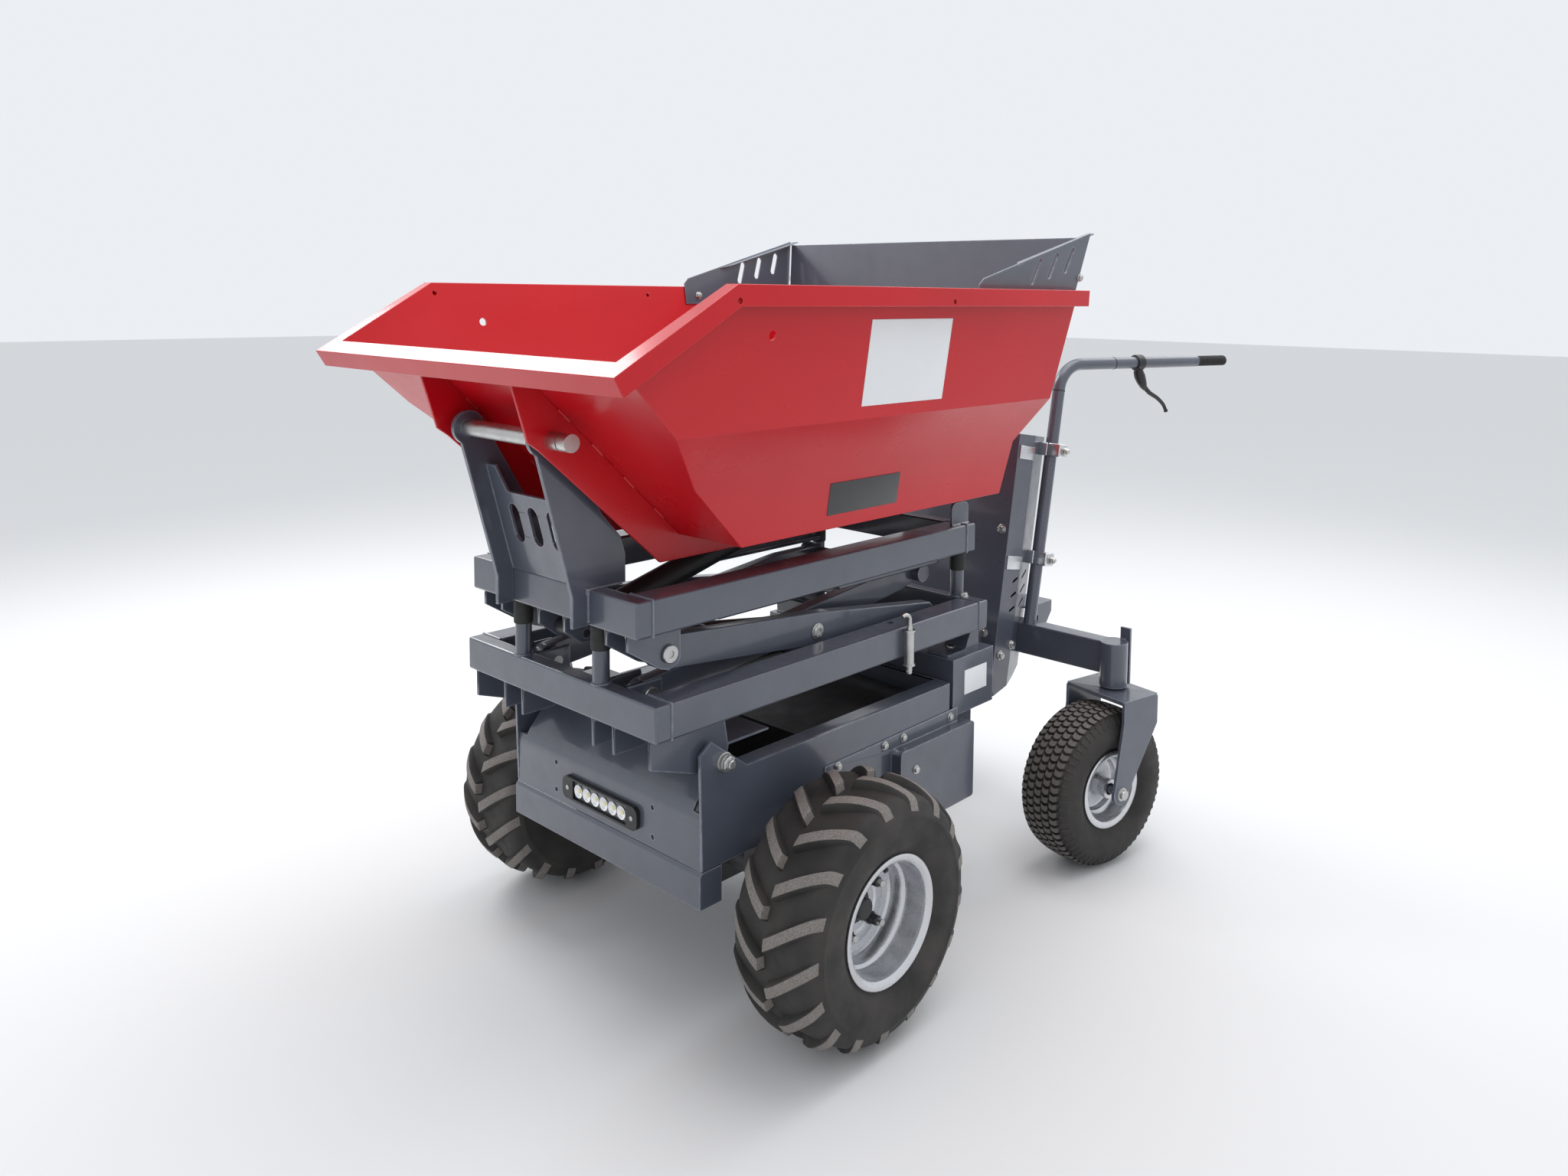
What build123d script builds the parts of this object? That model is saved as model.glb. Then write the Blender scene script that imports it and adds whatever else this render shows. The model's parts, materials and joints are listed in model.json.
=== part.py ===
"""Hi-tip site dumper, pedestrian controlled: a red tipping skip on a scissor lift, two lugged
drive wheels in front, two swivelling casters and a pair of handlebars behind.

Millimetres. X forward, Y left, Z up, the origin on the ground under the middle of the machine.
"""

import os
from math import atan2, cos, degrees, hypot, radians, sin, tan

from build123d import *

os.makedirs("parts", exist_ok=True)

# ---------------------------------------------------------------- driving dimensions

FRONT_AXLE_X = 537.35  # front axle, ahead of the middle of the machine
SHEET = 5.0  # chassis sheet
PLATE = 6.0  # brackets and clevis plates
RUNNING_GAP = 0.05  # radial gap of a pin or shaft in its hole
SEAT_GAP = 0.3  # gap between a moving piece and what it rests on
SIDE_GAP = 1.0  # gap between an arm or eye and the cheek beside it

# Front wheels: 18x8.50-8 tyres
FRONT_TYRE_R = 232.7
FRONT_TYRE_WIDTH = 195.0
FRONT_RIM_FLANGE_R = 115.0
FRONT_RIM_SEAT_R = 101.6
FRONT_RIM_WIDTH = 170.0
FRONT_TRACK_HALF = 431.0
HUB_R = 38.0
HUB_LENGTH = 44.0
STUB_R = 17.5
STUD_CIRCLE_R = 50.8
STUD_HOLE_R = 6.5
STUD_COUNT = 4

# Casters: 15x6.00-6 tyres
CASTER_TYRE_R = 182.0
CASTER_TYRE_WIDTH = 148.0
CASTER_RIM_FLANGE_R = 89.5
CASTER_RIM_SEAT_R = 76.2
CASTER_RIM_WIDTH = 112.0
CASTER_AXIS_BEHIND_AXLE = 920.0
CASTER_AXIS_Y = 430.0
CASTER_TRAIL = 64.0
CASTER_YAW = 12.0  # degrees the parked wheels toe in
CASTER_AXLE_R = 10.0
FORK_PLATE_BOTTOM = 385.0
FORK_PLATE = 10.0
FORK_LEG_INNER = 82.0
FORK_LEG = 8.0
FORK_LENGTH = 116.0
FORK_EYE_R = 26.0
HEAD_TUBE_R = 32.5
HEAD_TUBE_BOTTOM = 400.0
HEAD_TUBE_TOP = 505.0
STEM_R = 15.0

# Lower and upper frames of the scissor lift
RAIL_HEIGHT = 62.5
RAIL_WALL = 4.0
SIDE_RAIL_WIDTH = 60.0
END_RAIL_WIDTH = 33.0
LOWER_TOP = 638.9
LOWER_HALF_WIDTH = 287.6
LOWER_FRONT = 326.5  # ahead of the axle
LOWER_REAR = -604.2
UPPER_TOP = 806.2
UPPER_HALF_WIDTH = LOWER_HALF_WIDTH - 37.1
UPPER_FRONT = 335.7
UPPER_REAR = -604.1
LOWER_BOTTOM = LOWER_TOP - RAIL_HEIGHT
UPPER_BOTTOM = UPPER_TOP - RAIL_HEIGHT
POST_R = 15.0
PAD_R = 17.5
PAD_HEIGHT = 45.0

# Scissor arms: pin to pin, measured with the lift down
ARM_MIDDLE = (-131.0, 654.0)
ARM_HALF = 378.0
ARM_SLOPE = 6.5  # degrees
ARM_WIDTH = 29.0
ARM_DEPTH = 58.0
OUTER_ARM_Y = LOWER_HALF_WIDTH - SIDE_RAIL_WIDTH - 28.6
INNER_ARM_Y = OUTER_ARM_Y - 51.0
ARM_PIN_R = 10.0
ARM_EYE_R = 30.0
ROLLER_END_R = 14.0
ROLLER_R = 19.0
ROLLER_WIDTH = 16.0
ROLLER_Y = OUTER_ARM_Y - 26.0

# Tipping skip
TIP_SHAFT = (420.0, 1071.0)
TIP_SHAFT_R = 15.0
SKIP_WALL = 4.0
SKIP_BOTTOM = 879.0
SKIP_BOTTOM_FRONT = 157.0
SKIP_BOTTOM_REAR = -612.0
SKIP_TOP = 1325.4
SKIP_FRONT_SLOPE = 43.8  # degrees
SKIP_REAR_LEAN = 0.2  # mm back for each mm up
LIP_OUTER = (533.0, 1195.0)
RIM_BREAK = 311.0
RIM_DEPTH = 34.0
RIM_REAR = -708.0
# half width of the skip's outside at each crease, from the floor up
SKIP_SECTION = [
    # (half_width, height)
    (306.0, 879.0),
    (324.0, 994.0),
    (404.0, 1093.0),
    (440.0, 1325.4),
]
RIM_HALF_WIDTH_TOP = 464.0
RIM_HALF_WIDTH_LIP = 457.0
RIB_Y = 140.0
RIB_BOTTOM = 834.0

# Tower that carries the skip's shaft
TOWER_OUTER_Y = 119.0
TOWER_PLATE = 8.0
TOWER_HEAD_R = 30.0

# Chassis
CHASSIS_HALF_WIDTH = 283.1
HINGE_BRACKET_Y = LOWER_HALF_WIDTH - 23.6
CHASSIS_FRONT = 223.6
CHASSIS_REAR = -477.5
CHASSIS_BOTTOM = 321.3
CHASSIS_TOP = 480.0
SIDE_PLATE_TOP_FRONT = 119.0  # where the side plates' level top edge starts to rise
BATTERY_BAY_BOTTOM = 240.0
PANEL_TOP = 421.3
FRAME_BOLT = (175.0, 504.0)
FRAME_BOLT_R = 10.0

# Control column and handlebars
COLUMN_HALF_WIDTH = 180.0
COLUMN_FOOT = (-794.0, 469.5)
COLUMN_HEAD = (-882.5, 977.0)
COLUMN_DEPTH = 70.0  # from its front edge to the bend in its side
COLUMN_REAR_DEPTH = 155.0
COLUMN_TAPER = 18.0  # degrees the side turns in behind the bend
COLUMN_SHEET = 3.0
BAR_R = 15.5
BAR_Y = 192.0
BAR_FOOT = (-922.0, 490.0)
BAR_BEND = (-1047.0, 1140.0)
BAR_END = (-1599.0, 369.5)
BAR_BEND_R = 75.0
GRIP_R = 14.0
GRIP_CORE_R = 11.0  # the bar's thinner end inside a grip
GRIP_LENGTH = 105.0
BEAM_FRONT = -913.0
BEAM_DEPTH = 44.0
BEAM_BOTTOM = 423.0
BEAM_TOP = 500.0

# Hydraulic cylinders
TIP_CYLINDER_FOOT = (285.0, 704.0)
TIP_CYLINDER_EYE = (-262.0, 850.0)
LIFT_CYLINDER_FOOT = (-425.0, 565.0)
LIFT_CYLINDER_EYE = (104.0, 645.0)
CYLINDER_PIN_R = 8.0
CYLINDER_EYE_R = 16.0
CYLINDER_EYE_WIDTH = 30.0
TIP_FOOT_WIDTH = 70.0


def ahead(distance):
    """X of a place that lies a distance ahead of the front axle."""
    return FRONT_AXLE_X + distance


def side_points(points):
    """Places on a side view, given ahead of the axle and up from the ground."""
    return [(ahead(x), z) for x, z in points]


def finish(builder, name):
    """Label a finished piece and write its STEP file."""
    builder.part.label = name
    export_step(builder.part, f"parts/{name}.step")


# The side view plane: local x is X forward, local y is Z up, and it faces the right hand side.
SIDE = Plane(origin=(0, 0, 0), x_dir=(1, 0, 0), z_dir=(0, -1, 0))
# The front view plane: local x is Y left, local y is Z up, and it faces forward.
FRONT = Plane(origin=(0, 0, 0), x_dir=(0, 1, 0), z_dir=(1, 0, 0))


def side_plane(y):
    """A side view plane that stands at the given Y. Extruding by +d reaches y - d."""
    return SIDE.offset(-y)


def front_plane(distance):
    """A front view plane a distance ahead of the axle. Extruding by +d reaches forward."""
    return FRONT.offset(ahead(distance))


def arm_point(along, slope):
    """Place on an arm's pin line, measured from its middle pin towards the front."""
    return (ARM_MIDDLE[0] + along * cos(radians(slope)), ARM_MIDDLE[1] + along * sin(radians(slope)))


LOWER_PIVOT = arm_point(ARM_HALF, -ARM_SLOPE)  # inner arms, on the lower frame
UPPER_PIVOT = arm_point(ARM_HALF, ARM_SLOPE)  # outer arms, on the upper frame
UPPER_ROLLER = arm_point(-ARM_HALF, -ARM_SLOPE)  # inner arms, under the upper frame
LOWER_ROLLER = arm_point(-ARM_HALF, ARM_SLOPE)  # outer arms, on the lower frame

# ---------------------------------------------------------------- chassis

CHASSIS_OUTLINE = [
    (CHASSIS_FRONT, CHASSIS_BOTTOM),
    (CHASSIS_FRONT + 6.0, 528.0),
    (203.5, 547.0),
    (183.5, 531.0),
    (SIDE_PLATE_TOP_FRONT, CHASSIS_TOP + 1.6),
    (CHASSIS_REAR, CHASSIS_TOP),
    (CHASSIS_REAR, BATTERY_BAY_BOTTOM),
    (-85.0, BATTERY_BAY_BOTTOM),
    (-85.0, CHASSIS_BOTTOM),
]
FLANGE_WIDTH = 40.0

with BuildPart() as chassis_tub:
    for side in (1, -1):
        with BuildSketch(side_plane(side * (CHASSIS_HALF_WIDTH - SHEET / 2))):
            with BuildLine():
                Polyline(*side_points(CHASSIS_OUTLINE), close=True)
            make_face()
            with Locations((ahead(FRAME_BOLT[0]), FRAME_BOLT[1])):
                Circle(FRAME_BOLT_R + RUNNING_GAP, mode=Mode.SUBTRACT)
        extrude(amount=SHEET / 2, both=True)
        with BuildSketch(Plane.XY.offset(CHASSIS_TOP - SHEET)):
            flange_y = side * (CHASSIS_HALF_WIDTH - FLANGE_WIDTH / 2)
            with Locations(((ahead(SIDE_PLATE_TOP_FRONT) + ahead(CHASSIS_REAR)) / 2, flange_y)):
                Rectangle(SIDE_PLATE_TOP_FRONT - CHASSIS_REAR, FLANGE_WIDTH)
        extrude(amount=SHEET)
    with BuildSketch(side_plane(0)):
        with BuildLine():
            Polyline(
                *side_points(
                    [
                        (CHASSIS_FRONT - SHEET, CHASSIS_BOTTOM),
                        (-85.0, CHASSIS_BOTTOM),
                        (-85.0, BATTERY_BAY_BOTTOM),
                        (CHASSIS_REAR, BATTERY_BAY_BOTTOM),
                        (CHASSIS_REAR, CHASSIS_TOP),
                        (CHASSIS_REAR + SHEET, CHASSIS_TOP),
                        (CHASSIS_REAR + SHEET, BATTERY_BAY_BOTTOM + SHEET),
                        (-85.0 - SHEET, BATTERY_BAY_BOTTOM + SHEET),
                        (-85.0 - SHEET, CHASSIS_BOTTOM + SHEET),
                        (CHASSIS_FRONT - SHEET, CHASSIS_BOTTOM + SHEET),
                    ]
                ),
                close=True,
            )
        make_face()
    extrude(amount=CHASSIS_HALF_WIDTH, both=True)
finish(chassis_tub, "chassis_tub")

HOOD_TOP = (140.0, 520.0)  # where the sloping front reaches the hood's top
HOOD_REAR = 40.0
PANEL_HOLE_Y = 148.0
PANEL_HOLE_HEIGHTS = (341.5, 396.0)
PANEL_HOLE_R = 4.5
LAMP_HEIGHT = 363.0
HOOD_HALF_WIDTH = HINGE_BRACKET_Y - 10.0  # the sloping part, between the frame's hinge brackets
HOOD_BEND_R = 60.0

with BuildPart() as hood:
    with BuildSketch(side_plane(0)) as hood_side:
        with BuildLine():
            Polyline(
                *side_points(
                    [
                        (CHASSIS_FRONT, CHASSIS_BOTTOM),
                        (CHASSIS_FRONT, PANEL_TOP),
                        HOOD_TOP,
                        (HOOD_REAR, HOOD_TOP[1]),
                        (HOOD_REAR, HOOD_TOP[1] - SHEET),
                        (HOOD_TOP[0] - 3.0, HOOD_TOP[1] - SHEET),
                        (CHASSIS_FRONT - SHEET, PANEL_TOP - 2.0),
                        (CHASSIS_FRONT - SHEET, CHASSIS_BOTTOM),
                    ]
                ),
                close=True,
            )
        make_face()
        for x, z, radius in (
            (CHASSIS_FRONT, PANEL_TOP, HOOD_BEND_R),
            (CHASSIS_FRONT - SHEET, PANEL_TOP - 2.0, HOOD_BEND_R - SHEET),
        ):
            fillet(hood_side.vertices().sort_by_distance((ahead(x), z, 0))[0], radius)
    extrude(amount=CHASSIS_HALF_WIDTH - SHEET, both=True)
    # the hinge brackets pass beside the sloping part
    with BuildSketch(front_plane(CHASSIS_FRONT)):
        for side in (1, -1):
            middle = (side * (HOOD_HALF_WIDTH + CHASSIS_HALF_WIDTH) / 2, (PANEL_TOP + HOOD_TOP[1]) / 2)
            with Locations(middle):
                Rectangle(CHASSIS_HALF_WIDTH - HOOD_HALF_WIDTH, HOOD_TOP[1] - PANEL_TOP)
    extrude(amount=HOOD_REAR - CHASSIS_FRONT, mode=Mode.SUBTRACT)
    with BuildSketch(front_plane(CHASSIS_FRONT)):
        for side in (1, -1):
            with Locations(*[(side * PANEL_HOLE_Y, height) for height in PANEL_HOLE_HEIGHTS]):
                Circle(PANEL_HOLE_R)
    extrude(amount=-2 * SHEET, mode=Mode.SUBTRACT)
finish(hood, "hood")

BUMPER_BOTTOM = 256.0
BUMPER_TOP = 315.0
BUMPER_FRONT = 229.0
BUMPER_DEPTH = 50.0

with BuildPart() as bumper:
    with BuildSketch(side_plane(0)):
        with BuildLine():
            Polyline(
                *side_points(
                    [
                        (BUMPER_FRONT, BUMPER_BOTTOM),
                        (BUMPER_FRONT, BUMPER_TOP),
                        (CHASSIS_FRONT, CHASSIS_BOTTOM),
                        (BUMPER_FRONT - BUMPER_DEPTH, CHASSIS_BOTTOM),
                        (BUMPER_FRONT - BUMPER_DEPTH, BUMPER_BOTTOM),
                    ]
                ),
                close=True,
            )
        make_face()
    extrude(amount=CHASSIS_HALF_WIDTH, both=True)
finish(bumper, "bumper")

LAMP_BEZEL_WIDTH = 228.0
LAMP_BEZEL_HEIGHT = 44.0
LAMP_BEZEL_DEPTH = 9.0
LAMP_LENS_WIDTH = 163.0
LAMP_LENS_HEIGHT = 35.0
LAMP_LENS_DEPTH = 7.0

with BuildPart() as lamp_bezel:
    with BuildSketch(front_plane(CHASSIS_FRONT)):
        with Locations((0, LAMP_HEIGHT)):
            RectangleRounded(LAMP_BEZEL_WIDTH, LAMP_BEZEL_HEIGHT, 14)
            Rectangle(LAMP_LENS_WIDTH, LAMP_LENS_HEIGHT, mode=Mode.SUBTRACT)
    extrude(amount=LAMP_BEZEL_DEPTH)
finish(lamp_bezel, "lamp_bezel")

with BuildPart() as lamp_lens:
    with BuildSketch(front_plane(CHASSIS_FRONT)):
        with Locations((0, LAMP_HEIGHT)):
            Rectangle(LAMP_LENS_WIDTH, LAMP_LENS_HEIGHT)
    extrude(amount=LAMP_LENS_DEPTH)
finish(lamp_lens, "lamp_lens")

COVER_SHEET = 3.0
COVER_RAISE = 26.0
COVER_FRONT = -80.0
COVER_REAR = -500.0
COVER_TOP = 422.0
BOX_COVER_FRONT = -276.0
BOX_COVER_REAR = -526.0
BOX_COVER_TOP = 392.0
BOX_COVER_BOTTOM = 225.0

with BuildPart() as side_covers:
    for side in (1, -1):
        with BuildSketch(side_plane(side * (CHASSIS_HALF_WIDTH + COVER_SHEET / 2))):
            with BuildLine():
                Polyline(
                    *side_points(
                        [
                            (COVER_FRONT, BATTERY_BAY_BOTTOM),
                            (COVER_FRONT, COVER_TOP - 6.0),
                            (COVER_REAR, COVER_TOP),
                            (COVER_REAR, BATTERY_BAY_BOTTOM),
                        ]
                    ),
                    close=True,
                )
            make_face()
        extrude(amount=COVER_SHEET / 2, both=True)
        outer = side_plane(side * (CHASSIS_HALF_WIDTH + COVER_SHEET + COVER_RAISE / 2))
        with BuildSketch(outer):
            with Locations(
                ((ahead(BOX_COVER_FRONT) + ahead(BOX_COVER_REAR)) / 2, (BOX_COVER_TOP + BOX_COVER_BOTTOM) / 2)
            ):
                RectangleRounded(BOX_COVER_FRONT - BOX_COVER_REAR, BOX_COVER_TOP - BOX_COVER_BOTTOM, 8)
        extrude(amount=COVER_RAISE / 2, both=True)
finish(side_covers, "side_covers")

REAR_BOX_FRONT = -486.5
REAR_BOX_REAR = -635.5
REAR_BOX_BOTTOM = 402.0
REAR_BOX_TOP = 527.0
LOWER_BOX_HALF_WIDTH = 250.0
LOWER_BOX_BOTTOM = 232.0

with BuildPart() as rear_box:
    with BuildSketch(side_plane(0)):
        with Locations((ahead((REAR_BOX_FRONT + REAR_BOX_REAR) / 2), (REAR_BOX_BOTTOM + REAR_BOX_TOP) / 2)):
            Rectangle(REAR_BOX_FRONT - REAR_BOX_REAR, REAR_BOX_TOP - REAR_BOX_BOTTOM)
    extrude(amount=CHASSIS_HALF_WIDTH, both=True)
    with BuildSketch(side_plane(0)):
        with Locations((ahead((CHASSIS_REAR - 600.0) / 2), (LOWER_BOX_BOTTOM + REAR_BOX_BOTTOM) / 2)):
            Rectangle(600.0 + CHASSIS_REAR, REAR_BOX_BOTTOM - LOWER_BOX_BOTTOM)
    extrude(amount=LOWER_BOX_HALF_WIDTH, both=True)
finish(rear_box, "rear_box")

BATTERY_SIZE = (350.0, 440.0, 200.0)

with BuildPart() as battery:
    with BuildSketch(Plane.XY.offset(BATTERY_BAY_BOTTOM + SHEET)):
        with Locations((ahead((CHASSIS_REAR + SHEET - 85.0 - SHEET) / 2), 0)):
            Rectangle(BATTERY_SIZE[0], BATTERY_SIZE[1])
    extrude(amount=BATTERY_SIZE[2])
finish(battery, "battery")

AXLE_TUBE_R = 32.0
AXLE_TUBE_HALF = FRONT_TRACK_HALF - HUB_LENGTH - SEAT_GAP
GEARBOX_SIZE = (150.0, 190.0)
AXLE_MOUNT_Y = 225.0
AXLE_MOUNT_WIDTH = 60.0
STUB_END_Y = FRONT_TRACK_HALF + 24.0

with BuildPart() as drive_axle:
    with BuildSketch(side_plane(0)):
        with Locations((ahead(0), FRONT_TYRE_R)):
            Circle(STUB_R)
    extrude(amount=STUB_END_Y, both=True)
    with BuildSketch(side_plane(0)):
        with Locations((ahead(0), FRONT_TYRE_R)):
            Circle(AXLE_TUBE_R)
    extrude(amount=AXLE_TUBE_HALF, both=True)
    with BuildSketch(side_plane(0)):
        with Locations((ahead(0), FRONT_TYRE_R)):
            RectangleRounded(GEARBOX_SIZE[0], GEARBOX_SIZE[0], 20)
    extrude(amount=GEARBOX_SIZE[1] / 2, both=True)
    for side in (1, -1):
        with BuildSketch(side_plane(side * AXLE_MOUNT_Y)):
            with Locations((ahead(0), (FRONT_TYRE_R + CHASSIS_BOTTOM) / 2)):
                Rectangle(90.0, CHASSIS_BOTTOM - FRONT_TYRE_R)
        extrude(amount=AXLE_MOUNT_WIDTH / 2, both=True)
finish(drive_axle, "drive_axle")

# ---------------------------------------------------------------- front wheels

for side_name, side in (("left", 1), ("right", -1)):
    # Profiles are drawn across the wheel: local x is outwards along the axle, local y is the radius.
    wheel_plane = Plane(origin=(ahead(0), 0, FRONT_TYRE_R), x_dir=(0, side, 0), z_dir=(side, 0, 0))
    half = FRONT_TYRE_WIDTH / 2
    seat_half = FRONT_RIM_WIDTH / 2
    with BuildPart() as front_tyre:
        with BuildSketch(wheel_plane):
            with BuildLine():
                Polyline(
                    (FRONT_TRACK_HALF - seat_half, FRONT_RIM_SEAT_R),
                    (FRONT_TRACK_HALF - seat_half, FRONT_RIM_FLANGE_R + 4),
                    (FRONT_TRACK_HALF - half, FRONT_RIM_FLANGE_R + 40),
                    (FRONT_TRACK_HALF - half + 4, FRONT_TYRE_R - 42),
                    (FRONT_TRACK_HALF - half + 28, FRONT_TYRE_R - 12),
                    (FRONT_TRACK_HALF - half + 70, FRONT_TYRE_R),
                    (FRONT_TRACK_HALF + half - 70, FRONT_TYRE_R),
                    (FRONT_TRACK_HALF + half - 28, FRONT_TYRE_R - 12),
                    (FRONT_TRACK_HALF + half - 4, FRONT_TYRE_R - 42),
                    (FRONT_TRACK_HALF + half, FRONT_RIM_FLANGE_R + 40),
                    (FRONT_TRACK_HALF + seat_half, FRONT_RIM_FLANGE_R + 4),
                    (FRONT_TRACK_HALF + seat_half, FRONT_RIM_SEAT_R),
                    close=True,
                )
            make_face()
        revolve(axis=Axis((ahead(0), 0, FRONT_TYRE_R), (0, 1, 0)))
    finish(front_tyre, f"front_tyre_{side_name}")

    rim_sheet = 5.0
    with BuildPart() as front_rim:
        with BuildSketch(wheel_plane):
            with BuildLine():
                Polyline(
                    (FRONT_TRACK_HALF - seat_half, FRONT_RIM_SEAT_R),
                    (FRONT_TRACK_HALF + seat_half, FRONT_RIM_SEAT_R),
                    (FRONT_TRACK_HALF + seat_half, FRONT_RIM_FLANGE_R),
                    (FRONT_TRACK_HALF + seat_half + rim_sheet, FRONT_RIM_FLANGE_R),
                    (FRONT_TRACK_HALF + seat_half + rim_sheet, FRONT_RIM_SEAT_R - rim_sheet),
                    (FRONT_TRACK_HALF + 6.0, FRONT_RIM_SEAT_R - rim_sheet - 14.0),
                    (FRONT_TRACK_HALF + 6.0, STUB_R + RUNNING_GAP),
                    (FRONT_TRACK_HALF - HUB_LENGTH, STUB_R + RUNNING_GAP),
                    (FRONT_TRACK_HALF - HUB_LENGTH, HUB_R),
                    (FRONT_TRACK_HALF, HUB_R),
                    (FRONT_TRACK_HALF, FRONT_RIM_SEAT_R - rim_sheet - 14.0),
                    (FRONT_TRACK_HALF - seat_half - rim_sheet, FRONT_RIM_SEAT_R - rim_sheet),
                    (FRONT_TRACK_HALF - seat_half - rim_sheet, FRONT_RIM_FLANGE_R),
                    (FRONT_TRACK_HALF - seat_half, FRONT_RIM_FLANGE_R),
                    close=True,
                )
            make_face()
        revolve(axis=Axis((ahead(0), 0, FRONT_TYRE_R), (0, 1, 0)))
        with BuildSketch(side_plane(side * (FRONT_TRACK_HALF + 3.0))):
            with Locations((ahead(0), FRONT_TYRE_R)):
                with PolarLocations(STUD_CIRCLE_R, STUD_COUNT, start_angle=45):
                    Circle(STUD_HOLE_R)
        extrude(amount=3.0, both=True, mode=Mode.SUBTRACT)
    finish(front_rim, f"front_rim_{side_name}")

# ---------------------------------------------------------------- lower frame of the lift

RUNNER_SHEET = 8.0
RUNNER_INNER_Y = OUTER_ARM_Y - 31.0
RUNNER_FRONT = -215.0
RUNNER_REAR = -545.0
LOWER_RUNNER_TOP = LOWER_ROLLER[1] - ROLLER_R - SEAT_GAP
UPPER_RUNNER_BOTTOM = UPPER_ROLLER[1] + ROLLER_R + SEAT_GAP
CLEVIS_BOTTOM = 527.0
PLATE_SETBACK = 5.0  # the plates under a front rail start this far behind its face
CLEVIS_HEAD_R = 26.0
# plates under the front rail: the clevises of the inner arms and the frame's hinge brackets
LOWER_CLEVIS_Y = (INNER_ARM_Y - 39.0, INNER_ARM_Y + 19.0)
HINGE_BRACKET_BOTTOM = 500.0
LOCK_HOLE_R = 9.0
LOCK_HOLE = (-314.7, LOWER_HALF_WIDTH - 43.6)
CYLINDER_CHEEK = 6.0
CYLINDER_CHEEK_Y = CYLINDER_EYE_WIDTH / 2 + SIDE_GAP + CYLINDER_CHEEK / 2
TIP_FOOT_CHEEK_Y = TIP_FOOT_WIDTH / 2 + SIDE_GAP + CYLINDER_CHEEK / 2
CROSS_RAIL_FRONT = -454.0
CROSS_RAIL_TOP = LOWER_RUNNER_TOP - RUNNER_SHEET
CROSS_RAIL_BOTTOM = 545.0


def rail_frame(front, rear, half_width, bottom):
    """Welded frame of hollow rails: side rails between a front and a rear rail."""
    middle = ahead((front + rear) / 2)
    length = front - rear
    with BuildPart() as rails:
        with BuildSketch(Plane.XY.offset(bottom)):
            with Locations((middle, 0)):
                Rectangle(length, 2 * half_width)
                Rectangle(length - 2 * END_RAIL_WIDTH, 2 * (half_width - SIDE_RAIL_WIDTH), mode=Mode.SUBTRACT)
        extrude(amount=RAIL_HEIGHT)
        with BuildSketch(Plane.XY.offset(bottom + RAIL_WALL)):
            with Locations((middle, 0)):
                Rectangle(length - 2 * RAIL_WALL, 2 * (half_width - RAIL_WALL))
                Rectangle(
                    length - 2 * (END_RAIL_WIDTH - RAIL_WALL),
                    2 * (half_width - SIDE_RAIL_WIDTH + RAIL_WALL),
                    mode=Mode.SUBTRACT,
                )
        extrude(amount=RAIL_HEIGHT - 2 * RAIL_WALL, mode=Mode.SUBTRACT)
    return rails.part


lower_rails = rail_frame(LOWER_FRONT, LOWER_REAR, LOWER_HALF_WIDTH, LOWER_BOTTOM)

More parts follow.
